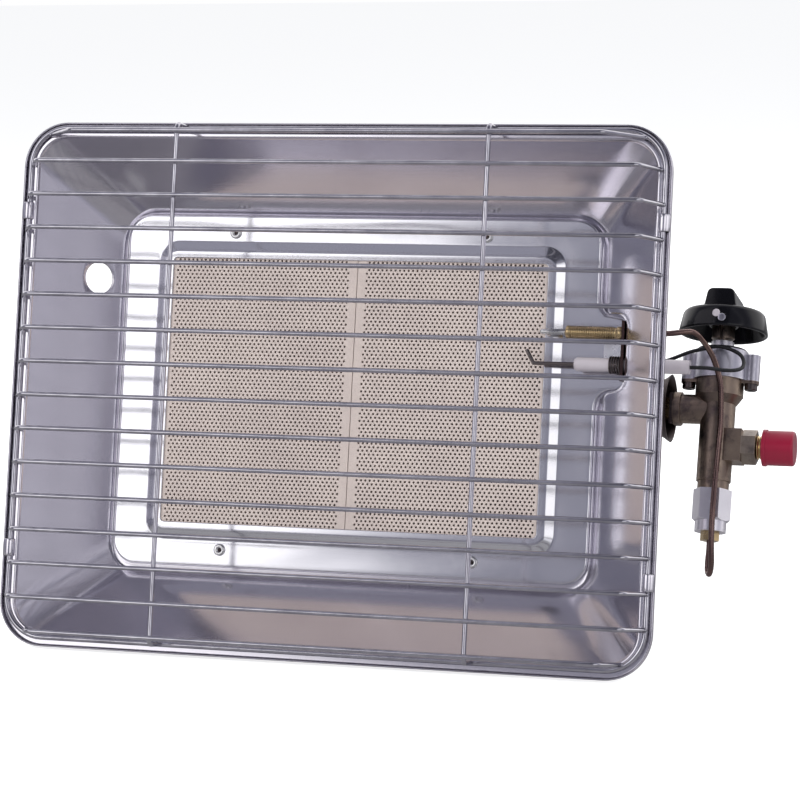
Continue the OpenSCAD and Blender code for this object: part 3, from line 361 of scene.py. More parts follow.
def tile_mesh(name, x_left):
    """A tile whose front is a field of small round holes in staggered rows."""
    nx = int((TILE_W - 2 * SEAM_BAND) / HOLE_PITCH)
    ny = int((TILE_H - 2 * EDGE_BAND) / ROW_PITCH)
    field_w, field_h = nx * HOLE_PITCH, ny * ROW_PITCH
    x0 = x_left + (TILE_W - field_w) / 2
    y0 = BURNER_Y - field_h / 2
    verts, faces, index = [], [], {}

    def corner(i2, j):
        """Shared point at half-cell column i2 on row line j."""
        key = (i2, j)
        if key not in index:
            index[key] = len(verts)
            verts.append(place(x0 + i2 * HOLE_PITCH / 2, y0 + j * ROW_PITCH, TILE_Z))
        return index[key]

    for j in range(ny):
        shift = j % 2
        for i in range(nx - shift):
            c = 2 * i + shift
            ring = [corner(c, j), corner(c + 1, j), corner(c + 2, j),
                    corner(c + 2, j + 1), corner(c + 1, j + 1), corner(c, j + 1)]
            cx, cy = x0 + (c + 1) * HOLE_PITCH / 2, y0 + (j + 0.5) * ROW_PITCH
            rims = []
            for z in (TILE_Z, TILE_Z - HOLE_DEEP):
                start = len(verts)
                for k in range(HOLE_SIDES):
                    a = math.radians(-150 + 360 / HOLE_SIDES * k)
                    verts.append(place(cx + HOLE_R * math.cos(a), cy + HOLE_R * math.sin(a), z))
                rims.append([start + k for k in range(HOLE_SIDES)])
            top, low = rims
            for k in range(HOLE_SIDES):
                n = (k + 1) % HOLE_SIDES
                faces.append((ring[k], ring[n], top[n], top[k]))
                faces.append((top[k], top[n], low[n], low[k]))
            faces.append(tuple(low))
        if shift:
            for c in (0, 2 * nx - 1):
                faces.append((corner(c, j), corner(c + 1, j), corner(c + 1, j + 1), corner(c, j + 1)))
    # plain margin, sides and back
    lo = (x_left, BURNER_Y - TILE_H / 2)
    hi = (x_left + TILE_W, BURNER_Y + TILE_H / 2)
    n = len(verts)
    square = [(lo[0], lo[1]), (hi[0], lo[1]), (hi[0], hi[1]), (lo[0], hi[1])]
    field = [(x0, y0), (x0 + field_w, y0), (x0 + field_w, y0 + field_h), (x0, y0 + field_h)]
    verts += [place(x, y, TILE_Z) for x, y in field]
    verts += [place(x, y, TILE_Z) for x, y in square]
    verts += [place(x, y, TILE_Z - TILE_T) for x, y in square]
    for k in range(4):
        m = (k + 1) % 4
        faces.append((n + 4 + k, n + 4 + m, n + m, n + k))
        faces.append((n + 8 + k, n + 8 + m, n + 4 + m, n + 4 + k))
    faces.append((n + 11, n + 10, n + 9, n + 8))
    return mesh_from(verts, faces, name)


add("tile_l", tile_mesh("tile_l", -SEAM / 2 - TILE_W), "burner_ceramic", replaces=("tile_left",))
add("tile_r", tile_mesh("tile_r", SEAM / 2), "burner_ceramic", replaces=("tile_right",))

# ---------------------------------------------------------------- round wires
RING_Y, BARS_UP = 1.1, 0.5
RING_HALF = (172.3, 135.6)
RING_R = 20.5
BAR_D, BAR_Z, BAR_RUN, BAR_BEND = 2.5, 18.6, 8.6, 5.0
BAR_COUNT, BAR_PITCH = 16, 17.7
TOP_BAR_RUN, TOP_BAR_DROP = 19.0, 1.5
LEG_GAP = 1.1  # how far short of the ring's middle a bar's leg ends
UPRIGHT_X, UPRIGHT_Z = 84.0, BAR_Z - 2.3


def wire(name, paths, radius, slot, replaces):
    """Round wires along lists of row-frame points, as one curve piece turned to mesh."""
    curve = bpy.data.curves.new(name, "CURVE")
    curve.dimensions = "3D"
    curve.bevel_depth = radius / 1000
    curve.bevel_resolution = 4
    curve.use_fill_caps = True
    for pts in paths:
        spline = curve.splines.new("POLY")
        spline.points.add(len(pts) - 1)
        for p, q in zip(spline.points, pts):
            p.co = (*q, 1)
        spline.use_smooth = True
    made = bpy.data.objects.new(name + "_curve", curve)
    bpy.context.scene.collection.objects.link(made)
    bpy.context.view_layer.update()
    mesh = bpy.data.meshes.new_from_object(made.evaluated_get(bpy.context.evaluated_depsgraph_get()))
    bpy.data.objects.remove(made)
    mesh.name = name
    mesh.materials.clear()
    mesh.polygons.foreach_set("use_smooth", [len(p.vertices) == 4 for p in mesh.polygons])
    add(name, mesh, slot, replaces=replaces)


def bar_path(half, y, run):
    """A level bar between -half and half, whose ends slope down over run to the ring."""
    phi = math.atan2(BAR_Z, run)
    c = half - BAR_BEND * math.tan(phi / 2)
    right = [(c + BAR_BEND * math.sin(a), y, BAR_Z - BAR_BEND * (1 - math.cos(a)))
             for a in [phi * k / 8 for k in range(9)]]
    leg = math.hypot(BAR_Z, run) - LEG_GAP
    right.append((half + leg * math.cos(phi), y, BAR_Z - leg * math.sin(phi)))
    left = [(-x, yy, z) for x, yy, z in reversed(right)]
    steps = [(left[-1][0] + (right[0][0] - left[-1][0]) * k / 12, y, BAR_Z) for k in range(1, 12)]
    return [place(*p) for p in left + steps + right]


def ring_reach(y):
    """Sideways reach of the guard ring at a height above its centre."""
    up = abs(y) - RING_HALF[1] + RING_R
    return RING_HALF[0] if up <= 0 else RING_HALF[0] - RING_R - 2 + math.sqrt(RING_R ** 2 - up ** 2)


bars, weld_spots = [], []
for i in range(BAR_COUNT):
    top = i == BAR_COUNT - 1
    y = BARS_UP + (i - (BAR_COUNT - 1) / 2) * BAR_PITCH - (TOP_BAR_DROP if top else 0)
    end = ring_reach(y)
    run = TOP_BAR_RUN if top else BAR_RUN
    bars.append(bar_path(end - run, RING_Y + y, run))
    for side in (-1, 1):
        weld_spots.append((side * UPRIGHT_X, RING_Y + y, UPRIGHT_Z + 1.15, 1.25))
        weld_spots.append((side * (end - 0.5), RING_Y + y, 1.4, 1.5))
wire("bars", bars, BAR_D / 2, "wire", ("guard_bars",))


def lumps(name, spots, slot):
    """Small uneven weld nuggets."""
    bm = bmesh.new()
    for i, (x, y, z, r) in enumerate(spots):
        made = bmesh.ops.create_icosphere(bm, subdivisions=2, radius=1.0)
        for v in made["verts"]:
            k = 1 + 0.16 * math.sin(5.1 * v.co.x + i) * math.cos(4.3 * v.co.y + 2 * i)
            v.co = place(x + r * 1.1 * k * v.co.x, y + r * 0.8 * k * v.co.y, z + r * 0.62 * k * v.co.z)
    mesh = bpy.data.meshes.new(name)
    bm.to_mesh(mesh)
    bm.free()
    mesh.polygons.foreach_set("use_smooth", [True] * len(mesh.polygons))
    add(name, mesh, slot)


lumps("weld_spots", weld_spots, "wire")


def spline(points, steps=6):
    """A smooth run of points through the given ones."""
    out = []
    pts = [Vector(p) for p in points]
    for i in range(len(pts) - 1):
        a, b, c, d = pts[max(i - 1, 0)], pts[i], pts[i + 1], pts[min(i + 2, len(pts) - 1)]
        for k in range(steps):
            u = k / steps
            out.append(0.5 * (2 * b + (c - a) * u + (2 * a - 5 * b + 4 * c - d) * u * u
                              + (3 * b - a - 3 * c + d) * u ** 3))
    return out + [pts[-1]]


PROBE_Z = -34.0  # depth of the flame sensor and the spark electrode
COPPER = [(VALVE_X + x, y, PROBE_Z + z) for x, y, z in (
    (-38, 37, 0), (-32, 37, 0), (-20.5, 37.6, -0.5), (-11, 39, -4))]
COPPER += [(VALVE_X + x, y, AXIS_Z + z) for x, y, z in (
    (-7.6, 38.3, 30.7), (-5, 35.3, 25.7), (-2, 30.4, 20.7), (0, 25.8, 17.7), (2, 19.5, 15.7),
    (3.4, 11.3, 14.2), (3.8, -4.4, 13.2), (3.4, -15.9, 13.6), (3, -26.6, 14.8), (2.8, -37.9, 17.2),
    (2.8, -50.4, 19.7), (2.9, -62.8, 20.9), (3.1, -71.5, 20.6), (3.2, -78, 19.3), (2.4, -82.6, 16.9),
    (1.3, -84, 14.3), (0.2, -82.4, 12), (-0.1, -78, 11), (0.1, -73, 10.5), (0.1, -68, 9.8), (0, -61, 8.8))]
SPARK = [(VALVE_X + x, y, PROBE_Z + z) for x, y, z in (
    (-14, 20.5, 0), (-8, 20.5, -0.1), (0, 20.6, -2), (6.6, 20.1, -6))]
SPARK += [(VALVE_X + x, y, AXIS_Z + z) for x, y, z in (
    (12.3, 20.5, 26.7), (15.3, 22.4, 21.7), (15.2, 26.1, 17.7), (12.3, 29.9, 14.9), (5.5, 32.9, 13.9),
    (0, 33.5, 13.7), (-7, 32, 13.7), (-14.3, 30.2, 12.7), (-25, 26.3, 9.7), (-33, 25, 4.7),
    (-36.5, 24.8, -2.3), (-35.5, 25, -8.8), (-31, 25.4, -13.2))]
SPARK += [(VALVE_X + x, 25.69, -87.117) for x in (-25, -19, -13)]
wire("sensor_lead", [[place(*p) for p in spline(COPPER)]], 1.5, "copper", ("copper_lead",))
wire("ignition_lead", [[place(*p) for p in spline(SPARK)]], 1.0, "lead_black", ("spark_lead",))

# ---------------------------------------------------------------- pressed sheet
REFLECTOR = (352.0, 279.0, 24.0)  # width, height, corner radius
OPENING = (226.0, 160.6, 7.0)  # for the burner, in the reflector's floor
PLATE = (262.8, 189.8, 13.0)  # the burner frame
LAND = (227.6, 162.2, 11.9)  # the foot of its raised land
MOUTH_D, FLOOR_D = 7.7, 42.4  # where the walls begin and end, in from the outer edge
MOUTH_Z, FLOOR_Z = -1.8, -47.4
FLOOR_CORNER = 14.9
TAPER = 0.0075  # share by which the right wall's foot is drawn in
SLOPE_X, SLOPE_Z = FLOOR_D - MOUTH_D, MOUTH_Z - FLOOR_Z
SLOPE = math.hypot(SLOPE_X, SLOPE_Z)


def lobe_x(y, edge, reach, low, high, outer, inner):
    """Right-hand outline at height y: a straight edge with one rounded lobe."""
    mid = (low + high) / 2
    up = abs(y - mid) - (high - low) / 2
    if up >= inner:
        return edge
    if up >= 0:
        return edge + inner - math.sqrt(max(0.0, inner ** 2 - (inner - up) ** 2))
    if up >= -outer:
        return reach - outer + math.sqrt(max(0.0, outer ** 2 - (outer + up) ** 2))
    return reach


def smooth_max(a, b, k):
    """The larger of a and b, rounded over k where they are close."""
    h = max(k - abs(a - b), 0.0) / k
    return max(a, b) + h * h * k * 0.25


CORNER_STEPS = 14
# stations along the sides: close together round the probes' lobe and the hole in the left wall
RIGHT_Y = [-76, -66, -56, -46, -36, -28, -21, -15, -10, -6, -3.5, -1, 1, 2.6, 4, 5, 5.8, 6.4, 6.8, 7.05, 7.3,
           7.8, 8.5, 9.4, 10.6, 12, 13.5, 15.5, 18, 21, 24, 27, 30, 33, 36, 38.5, 40.5, 42, 43.4, 44.6, 45.5,
           46.2, 46.7, 46.95, 47.2, 47.6, 48.2, 49, 50, 51.4, 53, 55, 57, 60, 65, 70, 76]
HOLE_AT = (60.0, 40.1)  # height, distance down the wall
HOLE_HALF, HOLE_RADIUS, HOLE_STEPS = 12.0, 8.5, 8


def hole_grid(middle):
    """Stations over the square patch that holds the round hole."""
    return [middle - HOLE_HALF + 2 * HOLE_HALF * k / HOLE_STEPS for k in range(HOLE_STEPS + 1)]


LEFT_Y = [-76, -66, -56, -46, -36, -26, -16, -6, 4, 14, 24, 34, 42] + hole_grid(HOLE_AT[0]) + [78]
TOP_X = [-112, -98, -84, -70, -56, -42, -28, -14, 0, 14, 28, 42, 56, 70, 84, 98, 112]


def outline(w, h, r, cy=0.0, right=None, soft=0.0):
    """Points of a rounded rectangle, anticlockwise, always the same count.

    soft eases the corners from round arcs to ones that blend gradually into the sides.
    """
    hw, hh = w / 2, h / 2
    r *= 1 + 0.3 * soft
    power = 2 / (2 + 0.72 * soft)
    inner_w, inner_h = hw - r - 0.4, hh - r - 0.4
    pts = []

    def eased(v):
        return r * math.copysign(abs(v) ** power, v)

    def corner(cx, cyy, a0):
        for k in range(CORNER_STEPS + 1):
            a = math.radians(a0 + 90 * k / CORNER_STEPS)
            pts.append((cx + eased(math.cos(a)), cyy + eased(math.sin(a))))

    def clamp(v, half):
        return max(-half, min(half, v))

    def squeeze(v, half):
        """Keeps v, which is never past 80, inside half without changing the points' order."""
        kept = min(72.0, half - 6)
        if abs(v) <= kept:
            return v
        return math.copysign(kept + (half - kept) * (abs(v) - kept) / (80 - kept), v)

    for y in RIGHT_Y:
        y = squeeze(y, inner_h)
        pts.append((right(y + cy) if right else hw, y + cy))
    corner(hw - r, hh - r + cy, 0)
    for x in reversed(TOP_X):
        pts.append((clamp(x, inner_w), hh + cy))
    corner(-hw + r, hh - r + cy, 90)
    for y in reversed(LEFT_Y):
        pts.append((-hw, squeeze(y, inner_h) + cy))
    corner(-hw + r, -hh + r + cy, 180)
    for x in TOP_X:
        pts.append((clamp(x, inner_w), -hh + cy))
    corner(hw - r, -hh + r + cy, 270)
    return pts


def arc(cx, cz, r, a0, a1, steps):
    """Points of an arc from angle a0 to a1, in degrees."""
    return [(cx + r * math.cos(math.radians(a0 + (a1 - a0) * k / steps)),
             cz + r * math.sin(math.radians(a0 + (a1 - a0) * k / steps))) for k in range(steps + 1)]


def sheet_piece(name, rings, slot, replaces, keep=lambda i, j: True, extra=None):
    """Joins rings of equal count into a sheet of even thickness.

    keep(i, j) says which cells are filled; extra adds further vertices and faces.
    """
    n = len(rings[0])
    verts = [p for ring in rings for p in ring]
    faces = [(i * n + j, (i + 1) * n + j, (i + 1) * n + (j + 1) % n, i * n + (j + 1) % n)
             for i in range(len(rings) - 1) for j in range(n) if keep(i, j)]
    if extra:
        extra(verts, faces, n)
    mesh = mesh_from([place(*v) for v in verts], faces, name, True)
    bm = bmesh.new()
    bm.from_mesh(mesh)
    bmesh.ops.remove_doubles(bm, verts=bm.verts, dist=1e-6)
    bmesh.ops.recalc_face_normals(bm, faces=bm.faces)
    bm.to_mesh(mesh)
    bm.free()
    obj = add(name, mesh, slot, replaces=replaces)
    solid = obj.modifiers.new("sheet", "SOLIDIFY")
    solid.thickness = SHEET / 1000
    solid.offset = 0.0
    even = obj.modifiers.new("normals", "WEIGHTED_NORMAL")
    even.weight = 100


def wave(x, y):
    """Slight unevenness of pressed sheet."""
    return 0.10 * math.sin(x / 19 + 0.7) * math.sin(y / 23 + 1.9) + 0.05 * math.sin(x / 7.3 + y / 9.1)


def reflector():
    """Rolled rim, sloping walls with the probes' lobe, floor, hole and clips as one sheet."""
    w, h, r = REFLECTOR
    rim = [(0.4, 0.5), (0.4, -0.8)] + arc(1.6, -1.7, 1.2, 180, 270, 5) + arc(4.0, -1.7, 1.2, 270, 360, 5)
    rim += [(5.22, -1.5)] + arc(5.85, -1.25, 0.6, 180, 90, 5) + [(6.2, -0.65), (6.7, -0.65)]
    rim += arc(6.9, -1.25, 0.6, 90, 0, 5)
    rings = [[(x, y, z) for x, y in outline(w - 2 * d, h - 2 * d, r - d)] for d, z in rim]
    levels = [0, 0.6, 2, 4, 6.5, 9, 11.7, 14.6, 17.5, 20.7, 24] + hole_grid(HOLE_AT[1])
    levels += [53.6, 54.9, 55.8]

    def wall(dist, inset=0.0, z=None):
        """The walls' outline dist down their slope; z is given only in the bend to the floor."""
        f = dist / SLOPE
        d = MOUTH_D + SLOPE_X * f
        zz = MOUTH_Z - SLOPE_Z * f
        rr = (r - MOUTH_D) + (FLOOR_CORNER - (r - MOUTH_D)) * f
        hw = w / 2 - d

        def right(y):
            foot = w / 2 - FLOOR_D
            lobe = lobe_x(y, foot, reach=151.4, low=6.6, high=47.4, outer=8.4, inner=7.6)
            if lobe <= foot + 0.01:
                return hw - inset
            return smooth_max(hw, lobe, 2.4) - inset

        pts = outline(w - 2 * d - 2 * inset, h - 2 * d - 2 * inset, rr - inset, 0.0, right,
                      min(1.0, dist / 14))
        zz = zz if z is None else z
        fade = max(0.0, min(1.0, f * 5, (1 - f) * 5)) if z is None else 0.0
        out = []
        for x, y in pts:
            k = wave(x + y, y - x) * fade
            x *= 1 - TAPER * f if x > 0 else 1
            out.append((x * (1 + k / 190), y * (1 + k / 190), zz))
        return out

    first = len(rings)
    for s in levels:
        rings.append(wall(s))
    rings.append(wall(56.3, 0.1, FLOOR_Z + 0.5))
    rings.append(wall(56.8, 0.3, FLOOR_Z + 0.16))
    rings.append(wall(SLOPE, 0.7, FLOOR_Z))
    edge = wall(SLOPE, 2.2, FLOOR_Z)
    hole = outline(*OPENING, BURNER_Y)
    for f in (0, 0.1, 0.35, 0.7, 1.0):
        rings.append([(a[0] + (b[0] - a[0]) * f, a[1] + (b[1] - a[1]) * f, FLOOR_Z)
                      for a, b in zip(edge, hole)])
    # the round hole in the left wall takes the place of a square patch of the grid
    start = len(RIGHT_Y) + (CORNER_STEPS + 1) * 2 + len(TOP_X)
    left = list(reversed(LEFT_Y))
    j1 = start + left.index(HOLE_AT[0] + HOLE_HALF)
    i1 = first + levels.index(HOLE_AT[1] - HOLE_HALF)
    steps = HOLE_STEPS

    def keep(i, j):
        return not (i1 <= i < i1 + steps and j1 <= j < j1 + steps)

    def extra(verts, faces, n):
        border = [(i1, j1 + k) for k in range(steps)]
        border += [(i1 + k, j1 + steps) for k in range(steps)]
        border += [(i1 + steps, j1 + steps - k) for k in range(steps)]
        border += [(i1 + steps - k, j1) for k in range(steps)]
        rows = [[i * n + j for i, j in border]]
        for f in (0.45, 1.0):
            row = []
            for idx in rows[0]:
                x, y, z = verts[idx]
                s = (MOUTH_Z - z) / SLOPE_Z * SLOPE
                a = math.atan2(s - HOLE_AT[1], y - HOLE_AT[0])
                cy = HOLE_AT[0] + HOLE_RADIUS * math.cos(a)
                cs = HOLE_AT[1] + HOLE_RADIUS * math.sin(a)
                yy, ss = y + (cy - y) * f, s + (cs - s) * f
                row.append(len(verts))
                verts.append((-(w / 2 - MOUTH_D - SLOPE_X * ss / SLOPE), yy, MOUTH_Z - SLOPE_Z * ss / SLOPE))
            rows.append(row)
        m = len(border)
        for a, b in zip(rows, rows[1:]):
            faces += [(a[k], a[(k + 1) % m], b[(k + 1) % m], b[k]) for k in range(m)]
        # clips bent over the guard ring: columns across each, with their share of its height
        mid = RING_HALF[0] + 0.1
        profile = [(175.6, 0.5), (175.1, 1.2)] + arc(mid, 0.0, 2.3, 40, 180, 12)
        columns = ((-4.4, 0.88), (-4.0, 0.96), (-2.6, 1.0), (0, 1.02), (2.6, 1.0), (4.0, 0.96), (4.4, 0.88))
        across = len(columns)
        for side, raised in ((-1, 2), (1, 0)):
            for y0 in (-90, 90):
                at = len(verts)
                for x, z in profile:
                    for dy, k in columns:
                        verts.append((side * (mid + (x - mid) * k), y0 + raised + dy, z * k))
                for k in range(len(profile) - 1):
                    for c in range(across - 1):
                        i = at + across * k + c
                        faces.append((i, i + 1, i + across + 1, i + across))

    sheet_piece("pressed_reflector", rings, "bright_steel", ("reflector",), keep, extra)


reflector()


def frame_plate():
    """Burner frame: turned-down edge, slightly uneven flat, raised land with a flat slope."""
    w, h, r = PLATE

    def tray(inset, z):
        def right(y):
            return lobe_x(y, w / 2, reach=149.0, low=9.0, high=45.0, outer=6.0, inner=10.0) - inset

        return [(x, y, z) for x, y in
                outline(w - 2 * inset, h - 2 * inset, r - inset, BURNER_Y, right)]

    mid = TRAY_Z - SHEET / 2
    rings = [tray(0.4, -47.0), tray(0.4, -45.6)]
    bend = 0.8
    rings += [tray(0.4 + bend - x, z) for x, z in arc(0, mid - bend, bend, 0, 90, 6)]
    flat = tray(3.2, mid)
    # distance in from the foot of the land, height
    land = [(0, 0), (0.5, 0.05), (1.0, 0.2), (1.5, 0.37), (2.5, 0.73), (3.5, 1.1), (4.5, 1.46), (5.2, 1.71),
            (5.8, 1.89), (6.4, 1.98), (7.0, 2.0), (8.2, 2.0), (9.2, 2.0), (9.6, 2.0)]

    def step(k, up):
        return [(x, y, mid + up) for x, y in
                outline(LAND[0] - 2 * k, LAND[1] - 2 * k, LAND[2] - k, BURNER_Y)]

    first = step(0, 0)
    for f in (0, 0.25, 0.6, 0.9, 1.0):
        ring = []
        for a, b in zip(flat, first):
            x, y = a[0] + (b[0] - a[0]) * f, a[1] + (b[1] - a[1]) * f
            ring.append((x, y, mid + 3.6 * wave(x * 0.8, y * 0.8) * f * (1 - f)))
        rings.append(ring)
    for k, up in land[1:]:
        rings.append(step(k, up))
    sheet_piece("pressed_frame", rings, "frame_steel", ("burner_frame",))


frame_plate()


def turned(name, profile, axis, slot, replaces=(), sides=40, body="heater", material=None):
    """Revolves (distance along, radius) pairs; axis(distance, sideways, upward) gives the point."""
    verts, faces = [], []
    for d, rad in profile:
        for k in range(sides):
            a = 2 * math.pi * k / sides
            verts.append(axis(d, rad * math.cos(a), rad * math.sin(a)))
    for i in range(len(profile) - 1):
        for k in range(sides):
            m = (k + 1) % sides
            faces.append((i * sides + k, i * sides + m, (i + 1) * sides + m, (i + 1) * sides + k))
    faces.append(tuple(reversed(range(sides))))
    faces.append(tuple((len(profile) - 1) * sides + k for k in range(sides)))
    mesh = mesh_from(verts, faces, name)
    mesh.polygons.foreach_set("use_smooth", [len(p.vertices) == 4 for p in mesh.polygons])
    add(name, mesh, slot, body, material, replaces)


BRACKET_X = 147.5
SENSOR_Y = 37.0
x0 = BRACKET_X - 30.5
groove = [(x0, 2.2), (x0 + 0.3, 3.1), (x0 + 0.7, 3.45), (x0 + 2.2, 3.45)]
at = x0 + 2.2
while at < BRACKET_X - 6.6:
    groove += [(at + 0.35, 3.42), (at + 0.62, 2.85), (at + 0.88, 2.85), (at + 1.12, 3.42)]
    at += 1.2
groove += [(at + 0.3, 3.0), (BRACKET_X - 3.6, 3.0), (BRACKET_X - 3.4, 3.45), (BRACKET_X - 0.2, 3.45),
           (BRACKET_X, 3.3), (BRACKET_X, 2.5), (BRACKET_X + 3, 2.5)]


def sensor_axis(d, u, v):
    return place(d, SENSOR_Y + v, PROBE_Z + u)


turned("sensor_sleeve_turned", groove, sensor_axis, "brass_bright", ("sensor_sleeve",))

# thread of the gas inlet, between the hexagon and the dust cap
INLET_S = -19.2  # up the valve's axis
THREAD_PITCH = 1.337
thread = [(21.6, 4.4), (21.7, 5.5), (22.05, 6.2), (22.6, 6.2), (22.95, 5.4), (23.3, 5.4), (23.65, 6.2),
          (24.2, 6.2), (24.5, 5.6)]
at = 24.7
while at < 35.4:
    thread += [(at, 5.95), (at + 0.45, 6.55), (at + 0.65, 6.55), (at + 1.1, 5.95)]
    at += THREAD_PITCH
thread += [(36.0, 6.2), (37.0, 5.7), (37.0, 3.6)]
new_brass = brushed("new_brass", (0.95, 0.74, 0.40), (0.75, 0.55, 0.28), (0.12, 0.2),
                    (500, 500, 500), 90.0)
turned("inlet_thread", thread, lambda d, u, v: on_valve(d, INLET_S + v, u), "brass_bright",
       ("inlet_nipple",), 48, material=new_brass)

# flame sensor's tip, paler than its sleeve
turned("sensor_probe", [(BRACKET_X - 44.5, 0.2), (BRACKET_X - 44.3, 0.9), (BRACKET_X - 43.6, 1.4),
                        (BRACKET_X - 42.8, 1.6), (BRACKET_X - 21, 1.6)],
       sensor_axis, "rivet_alu", ("sensor_tip",), 20)

RIVET_AT = (70, 85.5)  # each side of the burner's middle
HEAD = [(-47.5, 1.55), (-43.75, 1.55), (-43.7, 3.1), (-43.45, 3.25), (-43.1, 3.2), (-42.85, 2.9),
        (-42.75, 2.4), (-42.72, 1.7), (-42.85, 1.3), (-43.3, 1.15), (-43.4, 0.1)]
MANDREL = [(-43.5, 0.75), (-43.1, 0.75), (-43.0, 0.5), (-43.1, 0.1)]


def rivet(k, sx, sy, replaces):
    """A blind rivet: a flat bright head around the broken-off mandrel."""
    def axis(d, u, v):
        return place(sx * RIVET_AT[0] + u, BURNER_Y + sy * RIVET_AT[1] + v, d)

    turned("rivet_head_%d" % k, HEAD, axis, "rivet_alu", replaces, 28)
    turned("mandrel_%d" % k, MANDREL, axis, "dark_steel", sides=12)


rivet(0, -1, -1, ("frame_rivets",))
rivet(1, 1, -1, ())
rivet(2, 1, 1, ())
rivet(3, -1, 1, ())


# knob: skirt with a rolled lower edge, hub and a thick thumb grip
KNOB_S, GRIP_S = 40.2, 12.2  # foot of the knob up the valve's axis, foot of the grip above it
SKIRT_FOOT, SKIRT_TOP = (1.2, 23.25), (9.8, 21.55)  # height, radius
KNOB = [(9.0, 0.1), (9.0, 6.15), (4.0, 6.15), (4.0, 7.8), (10.2, 8.0), (10.3, 18.6), (9.6, 19.6), (0.9, 21.2),
        (0.3, 21.6), (0.0, 22.2), (0.02, 22.8), (0.4, 23.2), SKIRT_FOOT, SKIRT_TOP, (11.0, 21.0),
        (11.8, 20.1), (12.2, 18.8), (12.3, 17.2), (12.3, 0.1)]
turned("knob_skirt", KNOB, lambda d, u, v: on_valve(u, KNOB_S + d, v), "knob_black", ("knob",), 96,
       "knob")


def knob_grip():
    """Straight rounded bar across the knob, its section swept from back to front."""
    section = [(-8.7, -0.6), (-8.5, 0.4), (-8.1, 2.0), (-7.4, 6.1)]
    section += [(-4.2 + 3.1 * math.cos(math.radians(a)), 6.45 + 3.1 * math.sin(math.radians(a)))
                for a in (172, 155, 138, 121, 106, 95)]
    section += [(0, 9.6)]
    section += [(-x, z) for x, z in reversed(section[:-1])]
    # distance from the middle, share of the width, share of the height
    ends = ((15.9, 0.92, 0.88), (15.75, 0.96, 0.94), (15.3, 0.985, 0.98), (14.4, 1, 1), (12.0, 1, 1))
    rows = [(-f, kx, ks) for f, kx, ks in ends] + [(-4, 1, 1), (4, 1, 1)] + list(reversed(ends))
    n = len(section)
    verts = [on_valve(x * kx, KNOB_S + GRIP_S + z * ks, f) for f, kx, ks in rows for x, z in section]
    faces = [(i * n + j, i * n + (j + 1) % n, (i + 1) * n + (j + 1) % n, (i + 1) * n + j)
             for i in range(len(rows) - 1) for j in range(n)]
    faces += [tuple(reversed(range(n))), tuple((len(rows) - 1) * n + j for j in range(n))]
    mesh = mesh_from(verts, faces, "knob_grip")
    mesh.polygons.foreach_set("use_smooth", [len(p.vertices) == 4 for p in mesh.polygons])
    add("knob_grip", mesh, "knob_black", "knob")


knob_grip()


def knob_dot(name, around, along, slot):
    """A small disc let into the knob's skirt, curved with it: the white marker dot, and a grey disc that is a
    painted reflection.
    """
    bm = bmesh.new()
    radius, sides = 2.1, 28
    low, foot = SKIRT_FOOT
    tilt = (foot - 21.6) / (SKIRT_TOP[0] - low)  # stands a hair proud of the skirt at its top

    def skirt(du, ds, out):
        s = along + ds
        r = foot - (s - low) * tilt + out
        a = math.radians(around) + du / foot
        return on_valve(r * math.sin(a), KNOB_S + s, r * math.cos(a))

    centre = bm.verts.new(skirt(0, 0, 0.14))
    rings = []
    for share, out in ((0.55, 0.14), (0.9, 0.12), (1.0, 0.02), (1.0, -0.4)):
        rings.append([bm.verts.new(skirt(radius * share * math.cos(2 * math.pi * k / sides),
                                         radius * share * math.sin(2 * math.pi * k / sides), out))
                      for k in range(sides)])
    for k in range(sides):
        m = (k + 1) % sides
        bm.faces.new((centre, rings[0][k], rings[0][m]))
        for a, b in zip(rings, rings[1:]):
            bm.faces.new((a[k], b[k], b[m], a[m]))
    mesh = bpy.data.meshes.new(name)
    bm.to_mesh(mesh)
    bm.free()
    mesh.polygons.foreach_set("use_smooth", [True] * len(mesh.polygons))
    add(name, mesh, slot, "knob")


knob_dot("knob_dot_white", -1.5, 6.7, "white_ceramic")
# painted reflection: this grey disc stands in for a glint on the knob's skirt, it is no part of the knob
knob_dot("knob_dot_painted_reflection", 6.3, 4.4, "zinc")

# ---------------------------------------------------------------- stage and light


def node_maker(tree):
    """Empties the tree and gives a function that adds nodes: make(kind, *inputs, **settings)."""
    tree.nodes.clear()

    def make(kind, *inputs, **settings):
        n = tree.nodes.new(kind)
        for key, value in settings.items():
            setattr(n, key, value)
        for socket, value in zip(n.inputs, inputs):
            if isinstance(value, bpy.types.NodeSocket):
                tree.links.new(value, socket)
            else:
                socket.default_value = value
        return n

    return make


HALF_FLOOR = 6
corners = [(-HALF_FLOOR, -HALF_FLOOR, 0), (HALF_FLOOR, -HALF_FLOOR, 0),
           (HALF_FLOOR, HALF_FLOOR, 0), (-HALF_FLOOR, HALF_FLOOR, 0)]
floor_mesh = mesh_from(corners, [(0, 1, 2, 3)], "floor")
floor = bpy.data.objects.new("floor", floor_mesh)
bpy.context.scene.collection.objects.link(floor)
mat = bpy.data.materials.new("floor")
mat.use_nodes = True
make = node_maker(mat.node_tree)
# The camera sees the floor lit and glowing, mirrors see an even pale glow, the rest plain grey.
ray = make("ShaderNodeLightPath").outputs
direct = make("ShaderNodeMath", ray["Is Camera Ray"], ray["Is Transmission Ray"], operation="MAXIMUM")
plain = make("ShaderNodeBsdfDiffuse", (0.80, 0.80, 0.80, 1))
glow = make("ShaderNodeEmission", (1, 1, 1, 1), 0.62)
pale = make("ShaderNodeEmission", (0.97, 0.96, 1.0, 1), 0.35)
seen = make("ShaderNodeAddShader", glow.outputs[0], plain.outputs[0])
mirrored = make("ShaderNodeMixShader", ray["Is Glossy Ray"], plain.outputs[0], pale.outputs[0])
mix = make("ShaderNodeMixShader", direct.outputs[0], mirrored.outputs[0], seen.outputs[0])
make("ShaderNodeOutputMaterial", mix.outputs[0])
floor_mesh.materials.append(mat)

